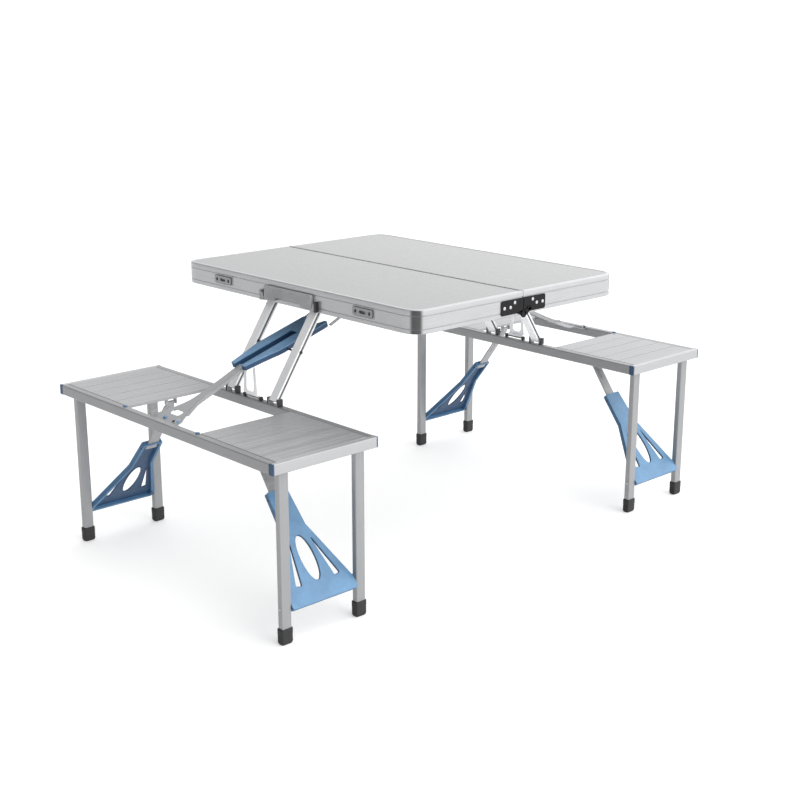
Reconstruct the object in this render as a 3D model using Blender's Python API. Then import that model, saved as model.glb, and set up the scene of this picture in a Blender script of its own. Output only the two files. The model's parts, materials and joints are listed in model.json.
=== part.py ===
"""A folding picnic table: a two-leaf table top that closes like a suitcase, with a bench of
two seats on each side. Metres, +Z up, origin on the floor under the centre.

X runs along the table's centre hinge. Each side (b at +Y, a at -Y) is built once in its own
frame, with Y pointing outwards, and side a is that frame turned half round about Z. Pieces of
a linkage are drawn as they lie when folded and are then turned about their pivots.
"""

import math

import bmesh
import bpy
from mathutils import Matrix, Vector

GAP = 0.0003

# Table top: two shells, each a deep aluminium frame with a panel under its lip
TABLE_HALF_LENGTH = 0.4275
TABLE_HALF_WIDTH = 0.335
TABLE_HEIGHT = 0.66
FRAME_DEPTH = 0.053
FRAME_WALL = 0.003
LIP_WIDTH = 0.009
LIP_THICKNESS = 0.0015
PANEL_THICKNESS = 0.004
PANEL_RISE = 0.0012
SEAM = 0.0005
CORNER_RADIUS = 0.03
PANEL_EAR_RADIUS = 0.0075
EAR_EASE = 0.6  # share of an ear's radius that its corners are eased by
OVERLAP = 0.001  # how far pieces that are joined run into each other
BEYOND = 0.01  # how far a cutter runs past what it cuts
FRAME_BOTTOM = TABLE_HEIGHT - FRAME_DEPTH
PANEL_TOP = TABLE_HEIGHT - LIP_THICKNESS - GAP
PANEL_UNDERSIDE = PANEL_TOP - PANEL_THICKNESS

# Bench: two long rails, two end bars and two slatted seats
BENCH_HALF_LENGTH = 0.418
BENCH_INNER = 0.435
BENCH_OUTER = 0.715
BENCH_MIDDLE = (BENCH_INNER + BENCH_OUTER) / 2
SEAT_HEIGHT = 0.405
RAIL_WIDTH = 0.018
RAIL_HEIGHT = 0.024
END_BAR_WIDTH = 0.013
END_CAP = 0.004
SEAT_START = 0.145
SEAT_THICKNESS = 0.007
SLATS = 5
GROOVE = 0.0015
TUBE_WALL = 0.0012
TUBE_RADIUS = 0.003
END_BAR_RADIUS = 0.002
RAIL_EAR_RADIUS = 0.0065
SEAT_EAR = Vector((0.006, 0.0045))
SEAT_EAR_INNER = 0.0108
SEAT_EAR_RADIUS = 0.003

# Legs, folding inwards about Y between the rails
LEG_WIDTH = 0.025
LEG_DEPTH = 0.015
LEG_SPREAD = 0.102
LEG_PIVOT = Vector((0.3955, 0.3885))
LEG_TOP = 0.004
FOOT = Vector((0.019, 0.030, 0.036))
FOOT_RADIUS = 0.004
FOOT_SOLE = 0.008

# Leg braces, in the plane of X and Z: folded, each lies flat between its two legs
BRACE_PIVOT_HEIGHT = 0.08
BRACE_LEAN = math.radians(129.8)
LINK_PIVOT = Vector((0.152, 0.3885))
LINK_START, LINK_END = 0.004, 0.003
LINK_THICKNESS = 0.004
LINK_NARROW, LINK_WIDE = 0.0100, 0.0148
LEG_BRACE_BACK = -0.009
LEG_BRACE_WEB = 0.004
LEG_BRACE_FRONT = 0.0025
LEG_BRACE_RIM = 0.004
LEG_BRACE_SLOT = 0.0155
LEG_BRACE_SLOT_START = 0.16
LEG_BRACE_NECK = Vector((0.155, 0.0310))
LEG_BRACE_TIP = Vector((0.003, 0.0265))
LUG_RADIUS = 0.012
LUG_CLEARANCE = 0.001
OVAL_AT = 0.082
OVAL = Vector((0.046, 0.021))
SLIT = [(0.034, 0.040), (0.037, 0.058), (0.108, 0.0315)]
SLIT_RADIUS = 0.004

# Arms and centre braces, in the plane of the side's Y and Z
ARM_PIVOT = Vector((0.296, 0.6442))
BENCH_PIVOT = Vector((0.447, 0.416))
ARM_X = 0.08
ARM_WIDTH = 0.026
ARM_THICKNESS = 0.014
ARM_END = 0.0025
BRACE_ON_ARM = 0.15
BRACE_TILT = math.radians(17.1)
TOP_LINK_PIVOT = Vector((0.04, 0.6515))
FORK_PIVOT = Vector((0.692, 0.4005))
EAR = 0.003
SIDE_X = ARM_X - ARM_WIDTH / 2 - GAP
BRACE_BACK = -0.009
BRACE_FRONT = 0.0015
BRACE_SLOT = 0.0162
BRACE_SLOT_END = 0.062
BRACE_TIP = Vector((0.007, 0.0255))
BRACE_LUG = Vector((0.0015, 0.0445))
BRACE_NOTCH = 0.018
BRACE_STUB_RADIUS = 0.0018
BRACE_STUB_START = 0.043
FORK_BOW = 0.012
FORK_END = 0.006
FORK_BASE = 0.050
FORK_NECK = 0.0115
FORK_SHEET = 0.003
TOP_LINK_X = 0.0495
TOP_LINK_RADIUS = 0.0018
TOP_LINK_CRANK = 0.004
TOP_LINK_PAST_STUB = 0.012

# Prop under the centre brace, standing on the inner rail
PROP_PIVOT = Vector((0.449, 0.4102))
PROP_LENGTH = 0.073
PROP_HALF_WIDTH = 0.0155
PROP_PRONG = 0.003
PROP_BASE = Vector((0.002, 0.007))
PROP_THICKNESS = 0.008

# Carry handle and latches on side a's long face
HANDLE_HALF_LENGTH = 0.085
HANDLE_PIVOT_HEIGHT = 0.616
HANDLE_RADIUS = 0.004
HANDLE_STANDOFF = 0.0008
HANDLE_END = 0.006
HANDLE_RISE, HANDLE_OUT = 0.026, 0.002
HANDLE_SIDE = 0.004
HANDLE_BEND = 0.016
LATCH_X = 0.26
LATCH_HALF_LENGTH = 0.034
LATCH_PIVOT_HEIGHT = 0.6245
LATCH_STANDOFF = 0.0006
LATCH_DEPTH = 0.0035
LATCH_BELOW, LATCH_ABOVE = 0.0015, 0.019
LATCH_RADIUS = 0.004

# Centre hinge plates on the two short ends
LEAF_THICKNESS = 0.002
LEAF_LENGTH = 0.074
LEAF_HEIGHT = 0.034
LEAF_RADIUS = 0.004
LEAF_RISE = 0.004
LEAF_A_START, LEAF_B_START = 0.001, 0.0095
HINGE_BOSS = 0.008


def closing_length(joint, way, anchor, joint_folded, way_folded, anchor_folded):
    """How far along a link its far pivot lies, so that a rod from there to the anchor has one length."""
    open_gap = joint - anchor
    shut_gap = joint_folded - anchor_folded
    change = open_gap.length_squared - shut_gap.length_squared
    return change / (2 * (shut_gap.dot(way_folded) - open_gap.dot(way)))


def heading(vector):
    return math.atan2(vector.y, vector.x)


# The arm swings from its open slope to lie along -Y, and carries the bench inwards and up.
ARM_LENGTH = (BENCH_PIVOT - ARM_PIVOT).length
ARM_FOLD = math.pi + heading(BENCH_PIVOT - ARM_PIVOT)
BENCH_SHIFT = ARM_PIVOT - Vector((ARM_LENGTH, 0)) - BENCH_PIVOT
BRACE_AT = ARM_PIVOT.lerp(BENCH_PIVOT, BRACE_ON_ARM / ARM_LENGTH)
BRACE_AT_FOLDED = ARM_PIVOT - Vector((BRACE_ON_ARM, 0))
BRACE_WAY = Vector((-math.cos(BRACE_TILT), math.sin(BRACE_TILT)))
BRACE_FOLD = math.pi - BRACE_TILT

# The centre brace's two ends meet the top link and the fork, both open and folded.
BRACE_WIDE_END = closing_length(
    BRACE_AT, BRACE_WAY, TOP_LINK_PIVOT, BRACE_AT_FOLDED, Vector((1, 0)), TOP_LINK_PIVOT
)
BRACE_APEX = closing_length(
    BRACE_AT, -BRACE_WAY, FORK_PIVOT, BRACE_AT_FOLDED, Vector((-1, 0)), FORK_PIVOT + BENCH_SHIFT
)
WIDE_END_AT = BRACE_AT + BRACE_WAY * BRACE_WIDE_END
APEX_AT = BRACE_AT - BRACE_WAY * BRACE_APEX
TOP_LINK_REACH = BRACE_AT_FOLDED + Vector((BRACE_WIDE_END, 0)) - TOP_LINK_PIVOT
TOP_LINK_FOLD = heading(TOP_LINK_REACH) - heading(WIDE_END_AT - TOP_LINK_PIVOT)
FORK_LENGTH = (APEX_AT - FORK_PIVOT).length
FORK_TILT = heading(APEX_AT - FORK_PIVOT) - math.pi

# The leg brace's apex meets the short link, both open and folded.
LEG_REACH = LEG_PIVOT.y - BRACE_PIVOT_HEIGHT
LEG_BRACE_WAY = Vector((math.cos(BRACE_LEAN), math.sin(BRACE_LEAN)))
LEG_BRACE_LENGTH = closing_length(
    Vector((LEG_PIVOT.x, BRACE_PIVOT_HEIGHT)),
    LEG_BRACE_WAY,
    LINK_PIVOT,
    LEG_PIVOT - Vector((LEG_REACH, 0)),
    Vector((1, 0)),
    LINK_PIVOT,
)
LEG_APEX_AT = Vector((LEG_PIVOT.x, BRACE_PIVOT_HEIGHT)) + LEG_BRACE_WAY * LEG_BRACE_LENGTH
LINK_LENGTH = (LEG_APEX_AT - LINK_PIVOT).length
LINK_SLOPE = heading(LEG_APEX_AT - LINK_PIVOT)

COLOURS = {
    "polished_aluminium": ((0.72, 0.73, 0.75), 0.25, 1.0),
    "brushed_aluminium": ((0.55, 0.56, 0.58), 0.4, 1.0),
    "table_laminate": ((0.52, 0.53, 0.55), 0.2, 0.0),
    "seat_aluminium": ((0.5, 0.51, 0.52), 0.4, 1.0),
    "blue_plastic": ((0.09, 0.27, 0.5), 0.45, 0.0),
    "black_rubber": ((0.015, 0.015, 0.016), 0.7, 0.0),
    "black_steel": ((0.02, 0.02, 0.022), 0.4, 0.5),
    "grey_plastic": ((0.3, 0.31, 0.33), 0.5, 0.0),
}


def clear_scene():
    for obj in list(bpy.data.objects):
        bpy.data.objects.remove(obj, do_unlink=True)


def new_collection(name, hidden=False):
    found = bpy.data.collections.new(name)
    bpy.context.scene.collection.children.link(found)
    found.hide_render = hidden
    return found


def new_material(name):
    colour, roughness, metallic = COLOURS[name]
    material = bpy.data.materials.new(name)
    material.use_nodes = True
    shader = material.node_tree.nodes["Principled BSDF"]
    shader.inputs["Base Color"].default_value = (*colour, 1)
    shader.inputs["Roughness"].default_value = roughness
    shader.inputs["Metallic"].default_value = metallic
    return material


clear_scene()
PARTS = new_collection("picnic_table")
CUTTERS = new_collection("cutters", hidden=True)


def pivot(name, at=(0, 0, 0), turn=(0, 0, 0), parent=None):
    """An empty on a joint's axis, or at the start of a frame."""
    empty = bpy.data.objects.new(name, None)
    empty.location = at
    empty.rotation_euler = turn
    empty.parent = parent
    PARTS.objects.link(empty)
    return empty


def add(name, data, parent, material=None):
    obj = bpy.data.objects.new(name, data)
    obj.parent = parent
    PARTS.objects.link(obj)
    if material:
        data.materials.append(new_material(material))
        data.materials[0].name = name + "_" + material
    return obj


def make_cutter(obj):
    PARTS.objects.unlink(obj)
    CUTTERS.objects.link(obj)
    obj.hide_render = True
    obj.display_type = "WIRE"
    return obj


def block(name, low, high, parent=None, material=None):
    """A box between two corners in its parent's frame."""
    low, high = Vector(low), Vector(high)
    bm = bmesh.new()
    place = Matrix.Translation((low + high) / 2) @ Matrix.Diagonal((*(high - low), 1))
    bmesh.ops.create_cube(bm, size=1, matrix=place)
    mesh = bpy.data.meshes.new(name)
    bm.to_mesh(mesh)
    bm.free()
    return add(name, mesh, parent, material)


def stub(name, low, high, at, radius, parent=None):
    """A round pin along X, from low to high, through at = (y, z)."""
    bm = bmesh.new()
    turned = Matrix.Rotation(math.pi / 2, 4, "Y")
    place = Matrix.Translation(((low + high) / 2, *at)) @ turned
    bmesh.ops.create_cone(
        bm, cap_ends=True, segments=16, radius1=radius, radius2=radius,
        depth=high - low, matrix=place,
    )
    mesh = bpy.data.meshes.new(name)
    bm.to_mesh(mesh)
    bm.free()
    return add(name, mesh, parent)


def eased(corners, radius, steps=3, sharp=0):
    """The outline with its corners eased by short curves that start radius before them.
    The first few, sharp in number, stay as they are."""
    points = [Vector(corner) for corner in corners[:sharp]]
    for i in range(sharp, len(corners)):
        corner = Vector(corners[i])
        before = Vector(corners[i - 1]) - corner
        after = Vector(corners[(i + 1) % len(corners)]) - corner
        start = corner + before.normalized() * min(radius, 0.49 * before.length)
        end = corner + after.normalized() * min(radius, 0.49 * after.length)
        for step in range(steps + 1):
            t = step / steps
            points.append(start * (1 - t) ** 2 + corner * 2 * t * (1 - t) + end * t**2)
    return points


def rectangle(low, high):
    return [(low[0], low[1]), (high[0], low[1]), (high[0], high[1]), (low[0], high[1])]


def ring_points(centre, half_length, half_width, count=20):
    turns = (2 * math.pi * i / count for i in range(count))
    return [
        (centre + half_length * math.cos(turn), half_width * math.sin(turn)) for turn in turns
    ]


def mirrored(half):
    """A closed outline from its half on the +Y side, listed from one end to the other."""
    return list(half) + [(x, -y) for x, y in reversed(half) if y > 0]


PLANES = {
    # The axes that an outline's two coordinates and its thickness run along.
    "XY": Matrix(((1, 0, 0), (0, 1, 0), (0, 0, 1))),
    "YX": Matrix(((0, 1, 0), (1, 0, 0), (0, 0, -1))),
    "XZ": Matrix(((1, 0, 0), (0, 0, -1), (0, 1, 0))),
    "YZ": Matrix(((0, 0, 1), (1, 0, 0), (0, 1, 0))),
}
THICKNESS_SIGN = {"XY": 1, "YX": -1, "XZ": -1, "YZ": 1}


def plate(name, plane, outlines, low, high, parent=None, material=None):
    """Outlines in a plane, the first outer and the rest holes, thickened from low to high."""
    curve = bpy.data.curves.new(name, "CURVE")
    curve.dimensions = "2D"
    curve.fill_mode = "BOTH"
    curve.extrude = (high - low) / 2
    for outline in outlines:
        spline = curve.splines.new("POLY")
        spline.points.add(len(outline) - 1)
        spline.use_cyclic_u = True
        for point, place in zip(spline.points, outline):
            point.co = (*place, 0, 1)
    flat = bpy.data.objects.new(name + "_outline", curve)
    PARTS.objects.link(flat)
    bpy.context.view_layer.update()
    evaluated = flat.evaluated_get(bpy.context.evaluated_depsgraph_get())
    mesh = bpy.data.meshes.new_from_object(evaluated)
    bpy.data.objects.remove(flat, do_unlink=True)
    middle = THICKNESS_SIGN[plane] * (low + high) / 2
    mesh.transform(PLANES[plane].to_4x4() @ Matrix.Translation((0, 0, middle)))
    weld(mesh)
    mesh.name = name
    return add(name, mesh, parent, material)


def weld(mesh):
    bm = bmesh.new()
    bm.from_mesh(mesh)
    bmesh.ops.remove_doubles(bm, verts=bm.verts, dist=1e-6)
    bmesh.ops.recalc_face_normals(bm, faces=bm.faces)
    bm.to_mesh(mesh)
    bm.free()


def combine(obj, operation, others):
    """Boolean each other piece into obj; the others are kept as hidden helpers."""
    for other in others:
        other.parent = obj.parent
        make_cutter(other)
        boolean = obj.modifiers.new(other.name, "BOOLEAN")
        boolean.operation = operation
        boolean.object = other
    return obj


def wire(name, points, radius, parent, material):
    curve = bpy.data.curves.new(name, "CURVE")
    curve.dimensions = "3D"
    curve.bevel_depth = radius
    curve.bevel_resolution = 2
    curve.use_fill_caps = True
    spline = curve.splines.new("POLY")
    spline.points.add(len(points) - 1)
    for point, place in zip(spline.points, points):
        point.co = (*place, 1)
    return add(name, curve, parent, material)


def tube_outlines(low, high, radius=TUBE_RADIUS):
    wall = Vector((TUBE_WALL, TUBE_WALL))
    inner = rectangle(Vector(low) + wall, Vector(high) - wall)
    return [eased(rectangle(low, high), radius), eased(inner, radius - TUBE_WALL)]


# Table top


def shell_outline(inset):
    """One shell in plan: square at the centre seam and rounded at the two outer corners."""
    x, low, high = TABLE_HALF_LENGTH - inset, SEAM + inset, TABLE_HALF_WIDTH - inset
    corners = [(-x, low), (x, low), (x, high), (-x, high)]
    return eased(corners, CORNER_RADIUS - inset, steps=6, sharp=2)


def build_frame(side, name):
    frame = plate(
        name, "XY", [shell_outline(0)], FRAME_BOTTOM, TABLE_HEIGHT, side, "polished_aluminium"
    )
    pocket_top = TABLE_HEIGHT - LIP_THICKNESS
    pocket = plate(
        name + "_pocket", "XY", [shell_outline(FRAME_WALL)], FRAME_BOTTOM - BEYOND, pocket_top
    )
    window = plate(
        name + "_window", "XY", [shell_outline(LIP_WIDTH)], pocket_top - BEYOND,
        TABLE_HEIGHT + BEYOND,
    )
    return combine(frame, "DIFFERENCE", [pocket, window])


def ear_pair(name, at, radius, base, x_centre):
    """Two plates either side of an arm, rounded round at = (y, z) and reaching to base."""
    ears = []
    for way in (-1, 1):
        near = x_centre + way * (ARM_WIDTH / 2 + GAP)
        low, high = sorted((near, near + way * EAR))
        outline = eased(
            [
                (at.x - radius, base),
                (at.x + radius, base),
                (at.x + radius, at.y - math.copysign(radius, base - at.y)),
                (at.x - radius, at.y - math.copysign(radius, base - at.y)),
            ],
            radius * EAR_EASE,
        )
        ears.append(plate(f"{name}_{way}", "YZ", [outline], low, high))
    return ears


def build_panel(side, name):
    panel = plate(
        name, "XY", [shell_outline(FRAME_WALL + GAP)], PANEL_UNDERSIDE, PANEL_TOP,
        side, "table_laminate",
    )
    raised = plate(
        name + "_raised", "XY", [shell_outline(LIP_WIDTH + GAP)], PANEL_UNDERSIDE + OVERLAP,
        PANEL_TOP + PANEL_RISE,
    )
    ears = []
    for x in (-ARM_X, ARM_X):
        ears += ear_pair(f"{name}_ear_{x}", ARM_PIVOT, PANEL_EAR_RADIUS, PANEL_TOP - OVERLAP, x)
    return combine(panel, "UNION", [raised, *ears])


def build_hinge(end, end_name):
    """The two leaves on one short end, turning about the frames' bottom edges."""
    inner = TABLE_HALF_LENGTH + GAP
    outer = inner + LEAF_THICKNESS
    axis = FRAME_BOTTOM
    low = axis + LEAF_RISE
    high = low + LEAF_HEIGHT
    frame = pivot(f"hinge_{end_name}", turn=(0, 0, 0 if end > 0 else math.pi))

    def leaf_outline(way, start):
        corners = rectangle((way * start, low), (way * LEAF_LENGTH, high))
        return eased(corners, LEAF_RADIUS)

    leaf_a = plate(
        f"hinge_leaf_a_{end_name}", "YZ", [leaf_outline(-end, LEAF_A_START)],
        inner, outer, frame, "black_steel",
    )
    # A neck from each leaf down to its boss, given as (distance from the seam, height).
    neck_a = [(0.022, low + 0.002), (0.006, axis - 0.004), (0, axis), (0.001, low + 0.006)]
    neck_b = [(0.006, axis - 0.004), (0.026, low + 0.002), (0.026, low + 0.018), (0, axis + 0.004)]
    combine(leaf_a, "UNION", [
        stub(f"boss_a_{end_name}", inner, outer, (0, axis), HINGE_BOSS),
        plate(f"neck_a_{end_name}", "YZ", [[(-end * y, z) for y, z in neck_a]], inner, outer),
    ])
    leaf_b = plate(
        f"hinge_leaf_b_{end_name}", "YZ", [leaf_outline(end, LEAF_B_START)],
        inner, outer, frame, "black_steel",
    )
    # The second leaf's neck and boss are joggled outwards, clear of the first leaf's.
    top = outer + GAP
    far = top + LEAF_THICKNESS
    riser = sorted((end * 0.012, end * 0.025))
    combine(leaf_b, "UNION", [
        stub(f"boss_b_{end_name}", top, far, (0, axis), HINGE_BOSS),
        plate(f"neck_b_{end_name}", "YZ", [[(end * y, z) for y, z in neck_b]], top, far),
        block(
            f"riser_b_{end_name}", (inner + LEAF_THICKNESS / 4, riser[0], low + 0.003),
            (top + LEAF_THICKNESS / 2, riser[1], low + 0.0125),
        ),
    ])


def build_handle(side):
    """A bail that lies on the long face and swings out about its two ends."""
    at = (0, TABLE_HALF_WIDTH + HANDLE_STANDOFF + HANDLE_RADIUS, HANDLE_PIVOT_HEIGHT)
    hold = pivot("handle_pivot", at, parent=side)
    x = HANDLE_HALF_LENGTH
    half = [
        (x + HANDLE_END, 0, 0),
        (x, 0, 0.001),
        (x - HANDLE_SIDE, HANDLE_OUT / 2, HANDLE_RISE * 0.7),
        (x - HANDLE_BEND, HANDLE_OUT, HANDLE_RISE),
    ]
    route = [(-px, py, pz) for px, py, pz in half] + half[::-1]
    wire("carry_handle", route, HANDLE_RADIUS, hold, "grey_plastic")


def build_latch(side, name, x):
    """A flat lever on the long face that flips down about its lower edge."""
    middle = TABLE_HALF_WIDTH + LATCH_STANDOFF + LATCH_DEPTH / 2
    hold = pivot(name + "_pivot", (x, middle, LATCH_PIVOT_HEIGHT), parent=side)
    half = LATCH_HALF_LENGTH
    outline = eased(rectangle((-half, -LATCH_BELOW), (half, LATCH_ABOVE)), LATCH_RADIUS)
    plate(name, "XZ", [outline], -LATCH_DEPTH / 2, LATCH_DEPTH / 2, hold, "brushed_aluminium")


# Bench


def build_rail(side, name, low_y):
    at = tube_outlines((low_y, SEAT_HEIGHT - RAIL_HEIGHT), (low_y + RAIL_WIDTH, SEAT_HEIGHT))
    reach = BENCH_HALF_LENGTH - END_BAR_WIDTH - GAP
    return plate(name, "YZ", at, -reach, reach, side, "brushed_aluminium")


def build_inner_rail(side, name):
    rail = build_rail(side, name, BENCH_INNER)
    ears = []
    for x in (-ARM_X, ARM_X):
        ears += ear_pair(f"{name}_ear_{x}", BENCH_PIVOT, RAIL_EAR_RADIUS, SEAT_HEIGHT - OVERLAP, x)
    return combine(rail, "UNION", ears)


def build_end_bar(end, name):
    low = (BENCH_HALF_LENGTH - END_BAR_WIDTH, SEAT_HEIGHT - RAIL_HEIGHT)
    at = tube_outlines(low, (BENCH_HALF_LENGTH, SEAT_HEIGHT), END_BAR_RADIUS)
    half = (BENCH_OUTER - BENCH_INNER) / 2 - END_CAP
    plate(name, "XZ", at, -half, half, end, "polished_aluminium")


def build_seat(end, name):
    """Slats side by side with a groove between each two, and ears below for the short link."""
    start, stop = SEAT_START, BENCH_HALF_LENGTH - END_BAR_WIDTH - GAP
    slat = (stop - start) / SLATS
    top = [(start, SEAT_HEIGHT)]
    for i in range(1, SLATS):
        x = start + i * slat
        top += [(x - GROOVE, SEAT_HEIGHT), (x, SEAT_HEIGHT - GROOVE), (x + GROOVE, SEAT_HEIGHT)]
    top.append((stop, SEAT_HEIGHT))
    underside = SEAT_HEIGHT - SEAT_THICKNESS
    half = (BENCH_OUTER - BENCH_INNER) / 2 - RAIL_WIDTH - GAP
    seat = plate(
        name, "XZ", [top + [(stop, underside), (start, underside)]], -half, half,
        end, "seat_aluminium",
    )
    at, reach = LINK_PIVOT, SEAT_EAR
    outline = rectangle((at.x - reach.x, at.y - reach.y), (at.x + reach.x, underside + OVERLAP))
    ears = [
        plate(
            f"{name}_ear_{way}", "XZ", [eased(outline, SEAT_EAR_RADIUS)],
            *sorted((way * SEAT_EAR_INNER, way * (SEAT_EAR_INNER + EAR))),
        )
        for way in (-1, 1)
    ]
    return combine(seat, "UNION", ears)


def build_leg(hold, name, y):
    """One leg with its rubber foot, hanging from the pivot that its pair shares."""
    width, depth = LEG_WIDTH / 2, LEG_DEPTH / 2
    bottom = FOOT_SOLE - LEG_PIVOT.y
    plate(
        name, "XY", tube_outlines((-depth, y - width), (depth, y + width)), bottom, LEG_TOP,
        hold, "brushed_aluminium",
    )
    half = FOOT / 2
    foot = plate(
        name.replace("leg", "foot"), "XY",
        [eased(rectangle((-half.x, y - half.y), (half.x, y + half.y)), FOOT_RADIUS)],
        -LEG_PIVOT.y, FOOT.z - LEG_PIVOT.y, hold, "black_rubber",
    )
    pocket = block(
        name + "_socket", (-depth - GAP, y - width - GAP, bottom - GAP),
        (depth + GAP, y + width + GAP, FOOT.z - LEG_PIVOT.y + BEYOND),
    )
    combine(foot, "DIFFERENCE", [pocket])


def leg_brace_outline(inset):
    """The triangular brace in plan, from the lugs at the legs to the narrow apex."""
    lug = LEG_SPREAD - LEG_WIDTH / 2 - LUG_CLEARANCE - inset
    reach = LUG_RADIUS - inset
    neck, tip = LEG_BRACE_NECK, LEG_BRACE_LENGTH + LEG_BRACE_TIP.x - inset
    half = [
        (-reach, 0), (-reach, lug), (reach, lug), (neck.x, neck.y - inset),
        (tip, LEG_BRACE_TIP.y - inset), (tip, 0),
    ]
    return mirrored(half)


def build_leg_brace(hold, name):
    """A shallow blue tray with an oval hole between two slits, open between its apex ears."""
    slits = [eased([(x, way * y) for x, y in SLIT], SLIT_RADIUS) for way in (1, -1)]
    brace = plate(
        name, "XY", [leg_brace_outline(0), ring_points(OVAL_AT, OVAL.x, OVAL.y), *slits],
        LEG_BRACE_BACK, LEG_BRACE_BACK + LEG_BRACE_WEB, hold, "blue_plastic",
    )
    rim = plate(
        name + "_rim", "XY", [leg_brace_outline(0), leg_brace_outline(LEG_BRACE_RIM)],
        LEG_BRACE_BACK, LEG_BRACE_FRONT,
    )
    combine(brace, "UNION", [rim])
    slot = block(
        name + "_slot", (LEG_BRACE_SLOT_START, -LEG_BRACE_SLOT, LEG_BRACE_BACK - BEYOND),
        (LEG_BRACE_LENGTH + 2 * BEYOND, LEG_BRACE_SLOT, LEG_BRACE_FRONT + BEYOND),
    )
    combine(brace, "DIFFERENCE", [slot])


def build_leg_link(hold, name):
    """A pressed aluminium link, narrow at the seat and spreading to the brace's apex."""
    tip = LINK_LENGTH + LINK_END
    half = [
        (-LINK_START, 0), (-LINK_START, LINK_NARROW), (LINK_LENGTH * 0.55, LINK_NARROW),
        (LINK_LENGTH * 0.78, LINK_WIDE), (tip, LINK_WIDE), (tip, 0),
    ]
    thick = LINK_THICKNESS / 2
    plate(name, "XY", [mirrored(half)], -thick, thick, hold, "brushed_aluminium")


def build_end(side, tag, end_name, turn):
    """One end of a bench: end bar, seat, two legs with feet, leg brace and link."""
    end = pivot(f"end_{tag}_{end_name}", (0, BENCH_MIDDLE, 0), (0, 0, turn), side)
    label = f"{tag}_{end_name}"
    build_end_bar(end, f"end_bar_{label}")
    build_seat(end, f"seat_{label}")
    hold = pivot(f"leg_pivot_{label}", (LEG_PIVOT.x, 0, LEG_PIVOT.y), parent=end)
    outer_way = 1 if turn == 0 else -1
    build_leg(hold, f"leg_{label}_outer", outer_way * LEG_SPREAD)
    build_leg(hold, f"leg_{label}_inner", -outer_way * LEG_SPREAD)
    brace_hold = pivot(
        f"leg_brace_pivot_{label}", (LEG_PIVOT.x, 0, BRACE_PIVOT_HEIGHT), (0, -BRACE_LEAN, 0), end
    )
    build_leg_brace(brace_hold, f"leg_brace_{label}")
    link_hold = pivot(
        f"leg_link_pivot_{label}", (LINK_PIVOT.x, 0, LINK_PIVOT.y), (0, -LINK_SLOPE, 0), end
    )
    build_leg_link(link_hold, f"leg_link_{label}")


# Arms and centre braces


def build_arm(hold, name, x):
    """A flat tube that hangs the bench from the shell, drawn folded along -Y."""
    half, thick = ARM_WIDTH / 2, ARM_THICKNESS / 2
    section = tube_outlines((x - half, -thick), (x + half, thick))
    plate(name, "XZ", section, -ARM_LENGTH - ARM_END, ARM_END, hold, "brushed_aluminium")


def build_centre_brace(hold, name):
    """The blue brace between the arms: a slotted plate, narrow at its apex, with two lugs."""
    tip, wide = -BRACE_APEX - BRACE_TIP.x, BRACE_WIDE_END + BRACE_LUG.x
    notch = BRACE_WIDE_END - BRACE_NOTCH
    half = [
        (BRACE_SLOT_END, 0),
        (BRACE_SLOT_END, BRACE_SLOT),
        (tip, BRACE_SLOT),
        (tip, BRACE_TIP.y),
        (-0.03, 0.042),
        (-0.008, 0.0455),
        (BRACE_WIDE_END - 0.03, BRACE_LUG.y),
        (wide, BRACE_LUG.y),
        (wide, 0.030),
        (notch, 0.022),
        (notch, 0),
    ]
    brace = plate(name, "YX", [mirrored(half)], BRACE_BACK, BRACE_FRONT, hold, "blue_plastic")
    stubs = [
        stub(
            f"{name}_stub_{way}", *sorted((way * BRACE_STUB_START, way * (SIDE_X - GAP))),
            (0, 0), BRACE_STUB_RADIUS,
        )
        for way in (-1, 1)
    ]
    return combine(brace, "UNION", stubs)


def build_fork(hold, name):
    """A bowed pressing: two prongs at the outer rail that join in a neck at the brace's apex."""
    tip = FORK_LENGTH + FORK_END
    half = [
        (-0.004, 0), (-0.004, FORK_BASE), (0.014, FORK_BASE), (0.045, 0.030), (0.085, 0.0150),
        (0.13, FORK_NECK), (tip, FORK_NECK), (tip, 0),
    ]
    opening = eased(mirrored([(0.014, 0), (0.014, 0.032), (0.040, 0.016), (0.058, 0)]), 0.005)
    outline = [(-y, x) for y, x in mirrored(half)]
    hole = [(-y, x) for y, x in opening]
    fork = plate(name, "YX", [outline, hole], -0.03, 0.03, hold, "brushed_aluminium")
    # The flat outline is cut to a thin sheet that bows towards the floor between its ends.
    spans = [i / 10 for i in range(11)]
    face = FORK_SHEET / 2
    bow = [(-FORK_LENGTH * s, face - FORK_BOW * s * (1 - s)) for s in spans]
    upper = [(BEYOND, face), *bow, (-FORK_LENGTH - BEYOND, face)]
    lower = [(y, z - FORK_SHEET) for y, z in reversed(upper)]
    sheet = plate(f"{name}_sheet", "YZ", [upper + lower], -0.06, 0.06)
    return combine(fork, "INTERSECT", [sheet])


def build_top_link(hold, name):
    """A cranked wire link: two rods joined by a cross rod under the shell."""
    x, crank = TOP_LINK_X, TOP_LINK_CRANK
    past_stub = BRACE_AT_FOLDED.x - TOP_LINK_PIVOT.x + TOP_LINK_PAST_STUB
    half = [(x, *TOP_LINK_REACH), (x, past_stub, 0), (x, crank, 0), (x - crank, 0, 0)]
    route = half + [(-px, py, pz) for px, py, pz in reversed(half)]
    wire(name, route, TOP_LINK_RADIUS, hold, "brushed_aluminium")


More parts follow.
